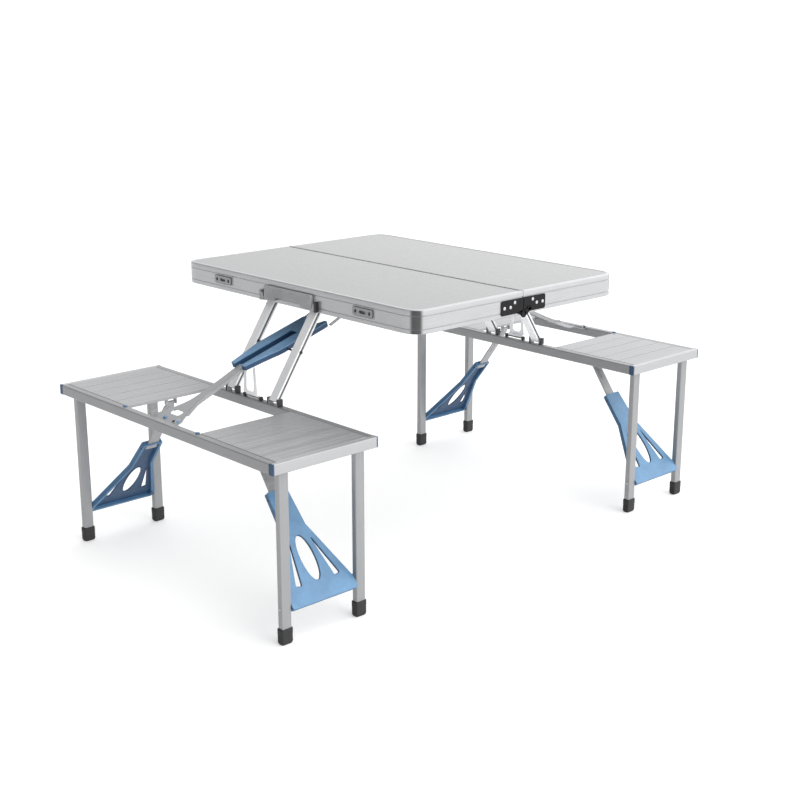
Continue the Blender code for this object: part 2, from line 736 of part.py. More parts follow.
def build_prop(hold, name):
    """A yoke standing on the inner rail, with a prong on each side of the fork's neck."""
    low, high = -PROP_BASE.x, PROP_BASE.y
    wide, narrow = PROP_HALF_WIDTH, PROP_HALF_WIDTH - PROP_PRONG
    half = [
        (low, 0), (low, wide), (PROP_LENGTH, wide), (PROP_LENGTH, narrow), (high, narrow), (high, 0),
    ]
    thick = PROP_THICKNESS / 2
    plate(name, "YX", [mirrored(half)], -thick, thick, hold, "brushed_aluminium")


def build_side(tag, turn):
    side = pivot(f"side_{tag}", turn=(0, 0, turn))
    build_frame(side, f"table_frame_{tag}")
    build_panel(side, f"table_panel_{tag}")
    build_inner_rail(side, f"rail_inner_{tag}")
    build_rail(side, f"rail_outer_{tag}", BENCH_OUTER - RAIL_WIDTH)

    near_turn = -turn
    for end_name, end_turn in (("near", near_turn), ("far", near_turn + math.pi)):
        build_end(side, tag, end_name, end_turn % (2 * math.pi))

    arm_hold = pivot(f"arm_pivot_{tag}", (0, *ARM_PIVOT), (ARM_FOLD, 0, 0), side)
    for arm_name, x in (("near", ARM_X), ("far", -ARM_X)):
        build_arm(arm_hold, f"arm_{tag}_{arm_name}", x if turn == 0 else -x)
    brace_hold = pivot(f"brace_pivot_{tag}", (0, *BRACE_AT), (BRACE_FOLD, 0, 0), side)
    build_centre_brace(brace_hold, f"centre_brace_{tag}")
    link_hold = pivot(f"top_link_pivot_{tag}", (0, *TOP_LINK_PIVOT), (-TOP_LINK_FOLD, 0, 0), side)
    build_top_link(link_hold, f"top_link_{tag}")
    fork_hold = pivot(f"fork_pivot_{tag}", (0, *FORK_PIVOT), (FORK_TILT, 0, 0), side)
    build_fork(fork_hold, f"fork_link_{tag}")
    prop_hold = pivot(f"prop_pivot_{tag}", (0, *PROP_PIVOT), (math.pi / 2, 0, 0), side)
    build_prop(prop_hold, f"prop_{tag}")
    return side


build_side("b", 0)
side_a = build_side("a", math.pi)
build_handle(side_a)
build_latch(side_a, "latch_far", LATCH_X)
build_latch(side_a, "latch_near", -LATCH_X)
for end, end_name in ((1, "near"), (-1, "far")):
    build_hinge(end, end_name)
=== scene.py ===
"""The looks of a folding picnic table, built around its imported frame. Metres, +Z up.

X runs along the table's centre hinge. Side b is at +Y, and side a is side b turned half round.
Pieces of the linkage are drawn in the frame of their own pivot, as they lie when folded.
"""

import json
from math import atan2, cos, pi, radians, sin

import bmesh
import bpy
from mathutils import Matrix, Vector


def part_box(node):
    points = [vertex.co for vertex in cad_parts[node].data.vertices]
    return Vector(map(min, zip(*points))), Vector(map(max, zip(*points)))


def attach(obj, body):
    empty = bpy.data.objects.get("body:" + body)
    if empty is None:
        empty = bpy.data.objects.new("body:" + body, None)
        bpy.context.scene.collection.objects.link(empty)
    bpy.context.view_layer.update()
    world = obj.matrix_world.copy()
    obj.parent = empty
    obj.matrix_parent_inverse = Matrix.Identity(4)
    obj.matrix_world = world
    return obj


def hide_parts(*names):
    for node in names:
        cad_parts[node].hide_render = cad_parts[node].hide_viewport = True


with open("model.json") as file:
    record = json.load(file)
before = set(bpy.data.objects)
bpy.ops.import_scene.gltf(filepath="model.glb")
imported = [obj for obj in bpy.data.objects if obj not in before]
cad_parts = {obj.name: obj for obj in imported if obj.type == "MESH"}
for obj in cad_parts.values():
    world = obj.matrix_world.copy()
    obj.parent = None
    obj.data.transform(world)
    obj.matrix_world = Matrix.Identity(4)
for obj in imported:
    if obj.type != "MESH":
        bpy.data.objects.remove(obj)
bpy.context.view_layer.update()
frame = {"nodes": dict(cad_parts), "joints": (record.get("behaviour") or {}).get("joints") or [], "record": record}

JOINTS = {joint["name"]: joint for joint in frame["joints"]}
FOLLOWS = {c["joint"]: c for c in frame["record"]["behaviour"]["couplings"]}
SIDES = {"b": Matrix.Identity(4), "a": Matrix.Rotation(pi, 4, "Z")}
ENDS = {"near": 1, "far": -1}


# Sizes that the frame's boxes and pivots give


def joint_at(name):
    return Vector(JOINTS[name]["pos_m"])


def travel(name):
    """How far a joint turns between open and folded, in radians."""
    if name in FOLLOWS:
        return FOLLOWS[name]["ratio"] * travel(FOLLOWS[name]["follows"])
    return radians(JOINTS[name]["range_deg"][1])


FRAME_LOW, FRAME_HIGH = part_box("table_frame_b")
FRAME_DEPTH = FRAME_HIGH.z - FRAME_LOW.z
RAIL_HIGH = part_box("rail_outer_b")[1]
SEAT_LOW, SEAT_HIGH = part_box("seat_b_near")
END_BAR_LOW, END_BAR_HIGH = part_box("end_bar_b_near")
LEG_LOW, LEG_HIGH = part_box("leg_b_near_inner")
FOOT_LOW, FOOT_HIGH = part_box("foot_b_near_inner")
ARM_LOW, ARM_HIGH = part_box("arm_b_near")
BENCH_MIDDLE = joint_at("legs_b_near_fold").y
ARM_PIVOT = joint_at("bench_b_fold")
BENCH_PIVOT = joint_at("bench_b_level")
ARM_X = (ARM_LOW.x + ARM_HIGH.x) / 2
ARM_WIDTH = ARM_HIGH.x - ARM_LOW.x
ARM_LENGTH = (BENCH_PIVOT - ARM_PIVOT).length
LINK_PIVOT = joint_at("leg_link_b_near_turn")

# Sizes that the boxes and pivots don't give
GAP = 0.0003
FRAME_WALL = 0.003
LIP_WIDTH = 0.009
LIP_THICKNESS = 0.0015
PANEL_RISE = 0.0012
PANEL_THICKNESS = 0.004
CORNER_RADIUS = 0.046
SEAM_WALL = 0.0018
SEAT_THICKNESS = 0.007
LEG_SPREAD = 0.102
EAR = 0.003
PIN_OVERHANG = 0.0055
BRACE_LEAN = pi / 2 + travel("leg_brace_b_near_turn")


# Materials

NOISE_RANGE = (0.3, 0.7)
# Where the painted dark reflection on the frame's rounded corners starts and is full.
CORNER_REFLECTION_BAND = (0.3, 0.46)  # product of the normal's X and Y, which is 0.5 half way round


def shader_of(material):
    return material.node_tree.nodes["Principled BSDF"]


def set_inputs(node, values):
    """Plain values for a node's inputs, by name or by number."""
    for name, value in values.items():
        node.inputs[name].default_value = value


def new_material(name, roughness, **inputs):
    material = bpy.data.materials.new(name)
    material.use_nodes = True
    set_inputs(shader_of(material), {"Roughness": roughness, **inputs})
    return material


def add_node(material, kind, **values):
    node = material.node_tree.nodes.new("ShaderNode" + kind)
    for name, value in values.items():
        if name in node.inputs:
            node.inputs[name].default_value = value
        else:
            setattr(node, name, value)
    return node


def connect(source, target):
    source.id_data.links.new(source, target)


def grain(material, scale, detail=3.0):
    """Noise on the piece's own coordinates, stretched by the scale along each axis."""
    place = add_node(material, "TexCoord")
    mapping = add_node(material, "Mapping", Scale=scale)
    noise = add_node(material, "TexNoise", Scale=1.0, Detail=detail, Roughness=0.6)
    connect(place.outputs["Object"], mapping.inputs["Vector"])
    connect(mapping.outputs["Vector"], noise.inputs["Vector"])
    return noise.outputs["Fac"]


def ranged(material, value, source, target, **values):
    """A value mapped from one range to another, each given as its two ends."""
    node = add_node(material, "MapRange", **values)
    names = ("From Min", "From Max", "To Min", "To Max")
    set_inputs(node, dict(zip(names, (*source, *target))))
    connect(value, node.inputs["Value"])
    return node.outputs["Result"]


def spread(material, noise, low, high):
    """The part of its range that a noise mostly keeps to, mapped to run from low to high."""
    return ranged(material, noise, NOISE_RANGE, (low, high))


def mixed(material, factor, first, second):
    """Two colours, or a colour and a socket, mixed by a factor."""
    node = add_node(material, "Mix", data_type="RGBA")
    for socket, value in ((node.inputs[6], first), (node.inputs[7], second)):
        if isinstance(value, tuple):
            socket.default_value = (*value, 1)
        else:
            connect(value, socket)
    connect(factor, node.inputs[0])
    return node.outputs[2]


def shaded(colour, share):
    return tuple(channel * share for channel in colour)


def bump(material, value, height, strength=1.0):
    node = add_node(material, "Bump", Strength=strength, Distance=height)
    connect(value, node.inputs["Height"])
    connect(node.outputs["Normal"], shader_of(material).inputs["Normal"])


def finish(material, colour, gloss, low, high):
    """Connects the surface's colour, and a noise that varies its roughness from low to high."""
    shader = shader_of(material)
    connect(colour, shader.inputs["Base Color"])
    connect(spread(material, gloss, low, high), shader.inputs["Roughness"])


def metal(name, colour, roughness, streaks, contrast=0.08, metallic=0.5):
    """Drawn or brushed aluminium: fine lines one way, soft mottling, uneven gloss."""
    material = new_material(name, roughness, Metallic=metallic)
    lines = grain(material, streaks, 4.0)
    patches = grain(material, (14, 14, 14), 2.0)
    lined = mixed(
        material, spread(material, lines, 0, 1), shaded(colour, 1 - contrast),
        shaded(colour, 1 + contrast),
    )
    worn = mixed(material, spread(material, patches, 0, 0.35), lined, shaded(colour, 0.9))
    finish(material, worn, lines, roughness - 0.06, roughness + 0.08)
    bump(material, lines, 0.0001, 0.35)
    return material


def paint_corner_reflection(material, share):
    """Paints a dark reflection into the colour of upright faces that point half way between the two sides, where a
    polished corner would reflect a dark room.
    """
    shader = shader_of(material)
    colour = shader.inputs["Base Color"].links[0].from_socket
    place = add_node(material, "TexCoord")
    split = add_node(material, "SeparateXYZ")
    connect(place.outputs["Normal"], split.inputs["Vector"])
    product = add_node(material, "Math", operation="MULTIPLY")
    connect(split.outputs["X"], product.inputs[0])
    connect(split.outputs["Y"], product.inputs[1])
    size = add_node(material, "Math", operation="ABSOLUTE")
    connect(product.outputs[0], size.inputs[0])
    painted_reflection = ranged(material, size.outputs[0], CORNER_REFLECTION_BAND, (1, share), interpolation_type="SMOOTHSTEP")
    scaled = add_node(material, "VectorMath", operation="SCALE")
    connect(colour, scaled.inputs[0])
    connect(painted_reflection, scaled.inputs["Scale"])
    connect(scaled.outputs["Vector"], shader.inputs["Base Color"])


def plastic(name, colour, roughness, pebble=0.0001):
    """Moulded plastic or rubber: a fine pebble, with faint flow marks and scuffs."""
    material = new_material(name, roughness)
    flow = grain(material, (22, 22, 22), 3.0)
    pebbles = grain(material, (900, 900, 900), 1.0)
    scuffs = grain(material, (60, 60, 260), 4.0)
    tone = mixed(material, spread(material, flow, 0, 1), shaded(colour, 0.86), shaded(colour, 1.12))
    pale = tuple(0.8 * channel + 0.015 for channel in colour)
    marked = mixed(material, spread(material, scuffs, -0.25, 0.4), tone, pale)
    finish(material, marked, scuffs, roughness - 0.05, roughness + 0.1)
    bump(material, pebbles, pebble, 0.5)
    return material


# How finely the grain repeats along each axis: long lines one way, or even all round.
ALONG_X = (3, 700, 700)
ALONG_Y = (700, 3, 700)
ALONG_Z = (700, 700, 3)
ROUND_FRAME = (5, 5, 900)
ACROSS_SEAT = (500, 2.5, 500)
EVEN = (160, 160, 160)

FRAME_METAL = metal("frame_metal", (0.45, 0.454, 0.463), 0.32, ROUND_FRAME, 0.05)
# A painted dark reflection on the frame's rounded outer corners.
paint_corner_reflection(FRAME_METAL, 0.16)
# The rails' metal is a darker copy of the end bars' metal: painted shade for the shadow on the rails under the
# table.
SHADED_RAIL_METAL = metal("rail_metal_painted_shade", (0.27, 0.273, 0.28), 0.4, ALONG_X)
BAR_METAL = metal("end_bar_metal", (0.42, 0.423, 0.432), 0.36, ALONG_Y, 0.06)
LEG_METAL = metal("leg_metal", (0.31, 0.314, 0.322), 0.36, ALONG_Z, 0.08)
SEAT_METAL = metal("seat_metal", (0.36, 0.362, 0.37), 0.42, ACROSS_SEAT, 0.2)
ARM_METAL = metal("arm_metal", (0.88, 0.885, 0.895), 0.4, ALONG_Y, 0.05, 0.2)
# A dark metal that paints the shade in recesses: the arms' channels and behind the latches' levers.
RECESS_SHADE_METAL = metal("recess_shade_metal", (0.13, 0.132, 0.137), 0.5, ALONG_Y, 0.06)
LINK_METAL = metal("link_metal", (0.34, 0.343, 0.352), 0.4, EVEN, 0.06)
FORK_METAL = metal("fork_metal", (0.34, 0.345, 0.355), 0.38, ALONG_Y, 0.06)
RIVET_METAL = metal("rivet_metal", (0.42, 0.42, 0.43), 0.3, EVEN, 0.04)
HINGE_RIVET = metal("hinge_rivet_metal", (0.5, 0.5, 0.51), 0.35, EVEN, 0.04)
LATCH_METAL = metal("latch_metal", (0.27, 0.27, 0.28), 0.35, ALONG_X, 0.05, 0.7)
BLUE = plastic("blue_plastic", (0.115, 0.245, 0.41), 0.42)
DEEP_BLUE = plastic("deep_blue_plastic", (0.06, 0.155, 0.29), 0.45)
# Navy also paints shade: the braces' inner layers, the centre brace's sides and its slot floor.
NAVY = plastic("navy_plastic", (0.018, 0.058, 0.13), 0.5)
BLACK = plastic("black_plastic", (0.012, 0.012, 0.013), 0.42)
RUBBER = plastic("black_rubber", (0.012, 0.012, 0.012), 0.6, 0.0006)
STEEL = plastic("black_steel", (0.006, 0.006, 0.007), 0.6, 0.0002)
set_inputs(shader_of(STEEL), {"Specular IOR Level": 0.2})
GREY = plastic("grey_plastic", (0.34, 0.345, 0.355), 0.4)

LAMINATE_DARK = (0.155, 0.157, 0.163)
LAMINATE_PALE = (0.18, 0.182, 0.189)
LAMINATE_CLOUD = (0.186, 0.187, 0.192)


def laminate():
    """A sealed grey sheet with a faint brushed fleck under a clear gloss."""
    material = new_material("table_laminate", 0.3, Metallic=0.1)
    gloss = {"Coat Weight": 0.32, "Coat Roughness": 0.04, "Specular IOR Level": 0.25}
    set_inputs(shader_of(material), gloss)
    fleck = grain(material, (60, 900, 900), 5.0)
    cloud = grain(material, (3, 3, 3), 2.0)
    tone = mixed(material, spread(material, fleck, 0, 1), LAMINATE_DARK, LAMINATE_PALE)
    clouded = mixed(material, spread(material, cloud, 0, 0.3), tone, LAMINATE_CLOUD)
    finish(material, clouded, fleck, 0.24, 0.36)
    return material


LAMINATE = laminate()


# Shapes: each helper gives a bmesh in its piece's own frame

PLANES = {
    # Where an outline's two coordinates and its thickness point.
    "XY": Matrix(((1, 0, 0), (0, 1, 0), (0, 0, 1))),
    "YX": Matrix(((0, 1, 0), (1, 0, 0), (0, 0, -1))),
    "XZ": Matrix(((1, 0, 0), (0, 0, -1), (0, 1, 0))),
    "YZ": Matrix(((0, 0, 1), (1, 0, 0), (0, 1, 0))),
}
TOWARDS = {
    "X": Matrix.Rotation(pi / 2, 4, "Y"),
    "Y": Matrix.Rotation(-pi / 2, 4, "X"),
    "Z": Matrix.Identity(4),
}


def add_object(name, data):
    obj = bpy.data.objects.new(name, data)
    bpy.context.scene.collection.objects.link(obj)
    return obj


def plate(plane, outlines, low, high, edge=0.0004):
    """Outlines, the first outer and the rest holes, thickened from low to high, edges rounded."""
    curve = bpy.data.curves.new("plate", "CURVE")
    curve.dimensions = "2D"
    curve.fill_mode = "BOTH"
    curve.extrude = (high - low) / 2 - edge
    curve.bevel_depth = edge
    curve.bevel_resolution = 1
    curve.offset = -edge
    for outline in outlines:
        spline = curve.splines.new("POLY")
        spline.points.add(len(outline) - 1)
        spline.use_cyclic_u = True
        for point, place in zip(spline.points, outline):
            point.co = (*place, 0, 1)
    middle = sum(PLANES[plane].col[2]) * (low + high) / 2
    return from_curve(curve, PLANES[plane].to_4x4() @ Matrix.Translation((0, 0, middle)))


def from_curve(curve, place):
    """The curve's own mesh, moved to its place."""
    helper = add_object("helper", curve)
    bpy.context.view_layer.update()
    shown = helper.evaluated_get(bpy.context.evaluated_depsgraph_get())
    mesh = bpy.data.meshes.new_from_object(shown)
    bpy.data.objects.remove(helper, do_unlink=True)
    mesh.transform(place)
    bm = bmesh.new()
    bm.from_mesh(mesh)
    bpy.data.meshes.remove(mesh)
    bmesh.ops.remove_doubles(bm, verts=bm.verts, dist=1e-6)
    bmesh.ops.recalc_face_normals(bm, faces=bm.faces)
    return bm


def block(low, high, edge=0.0005):
    """A box between two corners with rounded edges."""
    low, high = Vector(low), Vector(high)
    bm = bmesh.new()
    place = Matrix.Translation((low + high) / 2) @ Matrix.Diagonal((*(high - low), 1))
    bmesh.ops.create_cube(bm, size=1, matrix=place)
    bmesh.ops.bevel(bm, geom=bm.edges, offset=edge, segments=2, affect="EDGES", profile=0.5)
    return bm


def loft(rings, closed=False):
    """Faces between rings of points, capped at both ends unless they close on themselves."""
    bm = bmesh.new()
    rows = [[bm.verts.new(point) for point in ring] for ring in rings]
    pairs = list(zip(rows, rows[1:]))
    if closed:
        pairs.append((rows[-1], rows[0]))
    for one, two in pairs:
        for i in range(len(one)):
            j = (i + 1) % len(one)
            bm.faces.new((one[i], one[j], two[j], two[i]))
    if not closed:
        bm.faces.new(reversed(rows[0]))
        bm.faces.new(rows[-1])
    bmesh.ops.recalc_face_normals(bm, faces=bm.faces)
    return bm


def turned(profile, at=(0, 0, 0), axis="Z", count=24, flip=False):
    """A profile of (radius, height) turned about an axis through the point at."""
    rings = []
    for radius, height in profile:
        radius = max(radius, 1e-5)
        angles = [2 * pi * i / count for i in range(count)]
        rings.append([(radius * cos(a), radius * sin(a), height) for a in angles])
    bm = loft(rings)
    if flip:
        bm.transform(Matrix.Rotation(pi, 4, "X"))
    bm.transform(Matrix.Translation(at) @ TOWARDS[axis])
    return bm


def rivet(at, axis, radius, height, flip=False):
    """A domed head that stands on a face at the point at."""
    steps = [radians(a) for a in range(0, 90, 20)]
    dome = [(radius * cos(a), height * (0.25 + 0.75 * sin(a))) for a in steps]
    return turned([(radius, -GAP), *dome], at, axis, 20, flip)


def pin(low, high, at, radius, axis="X"):
    """A round bar with eased ends along an axis."""
    ease = min(radius * 0.3, 0.0006)
    profile = [
        (radius - ease, low), (radius, low + ease), (radius, high - ease), (radius - ease, high),
    ]
    return turned(profile, at, axis, 20)


def eased(corners, radius, steps=4, sharp=0):
    """The outline with its corners eased by short curves, the first few left sharp."""
    points = [Vector(corner) for corner in corners[:sharp]]
    for i in range(sharp, len(corners)):
        corner = Vector(corners[i])
        before = Vector(corners[i - 1]) - corner
        after = Vector(corners[(i + 1) % len(corners)]) - corner
        start = corner + before.normalized() * min(radius, 0.49 * before.length)
        end = corner + after.normalized() * min(radius, 0.49 * after.length)
        for step in range(steps + 1):
            t = step / steps
            points.append(start * (1 - t) ** 2 + corner * 2 * t * (1 - t) + end * t**2)
    return points


def between(way, one, two):
    """Two distances from the middle as a low and a high place, on the side that way says."""
    return sorted((way * one, way * two))


def rectangle(low, high):
    return [(low[0], low[1]), (high[0], low[1]), (high[0], high[1]), (low[0], high[1])]


def mirrored(half):
    """A closed outline from its half on the +Y side, listed from one end to the other."""
    return list(half) + [(x, -y) for x, y in reversed(half) if y > 0]


def oval(centre, half_length, half_width, count=48):
    turns = (2 * pi * i / count for i in range(count))
    return [(centre + half_length * cos(t), half_width * sin(t)) for t in turns]


SHARP_ANGLE = radians(21)  # below this, neighbouring faces shade as one curve


def piece(name, shapes, material, body, place=Matrix.Identity(4), replaces=()):
    """Joins the shapes into one piece in the row frame, which rides on a body."""
    joined = bmesh.new()
    for shape in shapes:
        mesh = bpy.data.meshes.new("shape")
        shape.to_mesh(mesh)
        shape.free()
        joined.from_mesh(mesh)
        bpy.data.meshes.remove(mesh)
    joined.transform(place)
    mesh = bpy.data.meshes.new(name)
    joined.to_mesh(mesh)
    joined.free()
    mesh.materials.append(material)
    mesh.shade_smooth()
    mesh.set_sharp_from_angle(angle=SHARP_ANGLE)
    obj = add_object(name, mesh)
    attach(obj, body)
    if replaces:
        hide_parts(*replaces)
    return obj


def dress(node, material):
    """Gives a CAD node that keeps its own shape its finish, and smooth shading on its curves."""
    obj = frame["nodes"][node]
    for slot in obj.material_slots:
        slot.material = material
    obj.data.shade_smooth()
    obj.data.set_sharp_from_angle(angle=SHARP_ANGLE)


# Frames of the linkage's pivots


def brace_on_arm(tag):
    """How far along the arm the centre brace is pinned."""
    return (joint_at(f"centre_brace_{tag}_turn") - joint_at(f"bench_{tag}_fold")).length


def brace_hold(tag):
    """The centre brace's frame, which its fork reaches towards."""
    angle = travel(f"bench_{tag}_fold") + travel(f"centre_brace_{tag}_turn")
    return side_hold(tag, f"centre_brace_{tag}_turn", angle)


def side_hold(tag, joint, angle):
    """A pivot in the plane of the side's Y and Z, turned from its folded to its open place."""
    at = SIDES[tag].inverted() @ joint_at(joint)
    place = Matrix.Translation((0, at.y, at.z)) @ Matrix.Rotation(angle, 4, "X")
    return SIDES[tag] @ place


def end_turn(end):
    """A half turn where an end lies at -X, so that X always runs towards the end."""
    return Matrix.Identity(4) if ENDS[end] > 0 else Matrix.Rotation(pi, 4, "Z")


def end_hold(joint, end, slope=0.0):
    """A pivot at one end of a bench, its X towards that end and then tilted by a slope."""
    tilt = Matrix.Rotation(-slope, 4, "Y")
    return Matrix.Translation(joint_at(joint)) @ end_turn(end) @ tilt


def bench_end(tag, end):
    """The frame of one end of a bench: X towards the end, Y across from the bench's middle."""
    return Matrix.Translation(SIDES[tag] @ Vector((0, BENCH_MIDDLE, 0))) @ end_turn(end)


def outer_way(tag, end):
    """The way along a bench end's own Y that faces away from the table.

    The same sign says at which end of X the end lies in its side's own frame.
    """
    return ENDS[end] * (1 if tag == "b" else -1)


def local_points(node, place):
    return [place.inverted() @ v.co for v in frame["nodes"][node].data.vertices]


def local_range(node, place):
    """The corners of the box that holds a CAD node, in the frame of a place."""
    points = local_points(node, place)
    return [Vector([pick(p[i] for p in points) for i in range(3)]) for pick in (min, max)]


# Table top

GROOVE_HEIGHTS = (0.0105, 0.0395)
GROOVE_DEPTH = 0.0013
GROOVE_HALF = 0.0012
TOP_EDGE_RADIUS = 0.003
CLEVIS_RADIUS = 0.0075


def shell_outline(inset, height, seam=SEAM_WALL):
    """One shell in plan at a height: square at the centre seam, rounded at the outer corners.

    Along the seam the inset stops at a thin wall, so no lip shows there.
    """
    x, high = FRAME_HIGH.x - inset, FRAME_HIGH.y - inset
    low = FRAME_LOW.y + min(inset, seam)
    corners = [(-x, low), (x, low), (x, high), (-x, high)]
    return [(*p, height) for p in eased(corners, CORNER_RADIUS - inset, 10, sharp=2)]


def frame_profile():
    """The extrusion's section as (inset, height), round from its outer foot to its inner foot."""
    top = FRAME_DEPTH
    profile = [(0.0005, 0), (0, 0.0006)]
    for height in GROOVE_HEIGHTS:
        profile += [
            (0, height - GROOVE_HALF), (GROOVE_DEPTH, height - GROOVE_HALF / 2),
            (GROOVE_DEPTH, height + GROOVE_HALF / 2), (0, height + GROOVE_HALF),
        ]
    for step in range(5):
        angle = radians(90 * step / 4)
        across = TOP_EDGE_RADIUS * (1 - cos(angle))
        profile.append((across, top - TOP_EDGE_RADIUS * (1 - sin(angle))))
    profile += [
        (LIP_WIDTH - 0.0008, top), (LIP_WIDTH - 0.0002, top - 0.0003), (LIP_WIDTH, top - 0.0008),
        (LIP_WIDTH, top - LIP_THICKNESS), (FRAME_WALL, top - LIP_THICKNESS),
        (FRAME_WALL, 0.0006), (FRAME_WALL - 0.0005, 0),
    ]
    return profile


def build_table_top(tag):
    """One shell: its frame, its two-step panel, and the clevises that hold the arms."""
    body, side = f"table_{tag}", SIDES[tag]
    rings = [shell_outline(inset, FRAME_LOW.z + height) for inset, height in frame_profile()]
    piece(
        f"frame_extrusion_{tag}", [loft(rings, closed=True)], FRAME_METAL, body, side,
        [f"table_frame_{tag}"],
    )
    top = FRAME_HIGH.z - LIP_THICKNESS - GAP
    under, window = (
        [(x, y) for x, y, _ in shell_outline(inset + GAP, 0, SEAM_WALL + GAP)]
        for inset in (FRAME_WALL, LIP_WIDTH)
    )
    piece(
        f"panel_{tag}",
        [plate("XY", [under], top - PANEL_THICKNESS, top),
         plate("XY", [window], top - 0.001, top + PANEL_RISE)],
        LAMINATE, body, side, [f"table_panel_{tag}"],
    )
    clevises = []
    for x in (-ARM_X, ARM_X):
        clevises += clevis(x, top - PANEL_THICKNESS)
    piece(f"arm_clevises_{tag}", clevises, STEEL, body, side)
    piece(f"arm_pins_{tag}", arm_pins(ARM_PIVOT, 0.0032), RIVET_METAL, body, side)


def clevis(x, ceiling):
    """Two ears that hang from the shell on either side of the arm at x."""
    y, z = ARM_PIVOT.yz
    ear = rectangle((y - CLEVIS_RADIUS, ceiling), (y + CLEVIS_RADIUS, z - CLEVIS_RADIUS))
    shapes = []
    for way in (-1, 1):
        near = x + way * (ARM_WIDTH / 2 + GAP)
        low, high = sorted((near, near + way * EAR))
        shapes.append(plate("YZ", [eased(ear, CLEVIS_RADIUS * 0.7, 5)], low, high, 0.0005))
    return shapes


def arm_pins(pivot, radius):
    """The pins through both arms at one of their pivots, on side b."""
    half = ARM_WIDTH / 2 + PIN_OVERHANG
    return [pin(-half, half, (x, *pivot.yz), radius) for x in (-ARM_X, ARM_X)]


# Hinges on the two short ends

LEAF_THICKNESS = 0.002
LEAF_LENGTH = 0.074
LEAF_RISE = 0.004
LEAF_CORNER = 0.004
LEAF_CORNER_CUT = 0.3 * LEAF_CORNER
HINGE_BOSS = 0.008
HINGE_NOTCH = 0.0088
NECK_DROP = 0.0035
LEAF_RIVETS = ((0.064, 0.017), (0.044, 0.017), (0.03, 0.0265))


def build_hinge(end):
    """Two riveted leaves. One carries the inner boss, the other reaches over it to the outer."""
    way = ENDS[end]
    turn = Matrix.Identity(4) if way > 0 else Matrix.Diagonal((-1, 1, 1, 1))
    inner, axis = FRAME_HIGH.x + GAP, FRAME_LOW.z
    outer = inner + LEAF_THICKNESS
    bottom = axis + LEAF_RISE
    for tag, sign in (("a", -1), ("b", 1)):
        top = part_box(f"hinge_leaf_{tag}_{end}")[1].z
        far = sign * LEAF_LENGTH
        if tag == "a":
            near = [(-0.001, bottom), (-0.001, top)]
            neck = [
                (-0.022, bottom + 0.002), (-0.007, axis - NECK_DROP), (-0.001, bottom + 0.006),
            ]
            boss = inner
        else:
            # The leaf is notched round the other leaf's boss.
            steps = [radians(a) for a in (27, 42, 57, 72, 85)]
            near = [(HINGE_NOTCH * cos(a), axis + HINGE_NOTCH * sin(a)) for a in steps]
            near.append((0.0008, top))
            neck = [
                (-0.001, axis + 0.006), (0.007, axis - NECK_DROP), (0.024, bottom + 0.003),
                (0.024, bottom + 0.012),
            ]
            boss = outer + GAP
        leaf = [
            (far, top - LEAF_CORNER), (far, bottom + LEAF_CORNER),
            (far - sign * LEAF_CORNER_CUT, bottom + LEAF_CORNER_CUT),
            (far - sign * LEAF_CORNER, bottom), *near, (far - sign * LEAF_CORNER, top),
            (far - sign * LEAF_CORNER_CUT, top - LEAF_CORNER_CUT),
        ]
        shapes = [
            plate("YZ", [leaf], inner, outer, 0.0004),
            plate("YZ", [neck], boss, boss + LEAF_THICKNESS, 0.0004),
            turned(
                [(HINGE_BOSS - 0.0002, boss), (HINGE_BOSS, boss + 0.0003),
                 (HINGE_BOSS, boss + LEAF_THICKNESS - 0.0005),
                 (HINGE_BOSS - 0.0006, boss + LEAF_THICKNESS)],
                (0, 0, axis), "X",
            ),
        ]
        if tag == "b":
            # A riser joins the neck, which lies over the other leaf's boss, to its own leaf.
            riser_low = (inner + 0.0004, 0.0125, bottom + 0.003)
            shapes.append(block(riser_low, (boss + LEAF_THICKNESS, 0.0235, bottom + 0.0115)))
        for shape in shapes:
            shape.transform(turn)
            bmesh.ops.recalc_face_normals(shape, faces=shape.faces)
        piece(
            f"hinge_plate_{tag}_{end}", shapes, STEEL, f"table_{tag}",
            replaces=[f"hinge_leaf_{tag}_{end}"],
        )
        heads = [
            rivet((way * outer, sign * y, bottom + z), "X", 0.004, 0.0016, way < 0)
            for y, z in LEAF_RIVETS
        ]
        piece(f"hinge_rivets_{tag}_{end}", heads, HINGE_RIVET, f"table_{tag}")


# Carry handle and latches on side a's long face

HANDLE_HALF = 0.0885
HANDLE_LOW, HANDLE_HIGH = -0.0045, 0.03
FINGER_OPENING = ((0.05, HANDLE_LOW), (0.044, 0.0045))
GRIP_RIB = rectangle((-0.066, 0.0125), (0.066, 0.0235))
HANDLE_PINS = (-0.0955, 0.0865)
HANDLE_PIN_LENGTH = 0.009
BRACKET_ENDS = (0.0925, 0.0985)
CAP_ENDS = (0.0987, 0.1065)


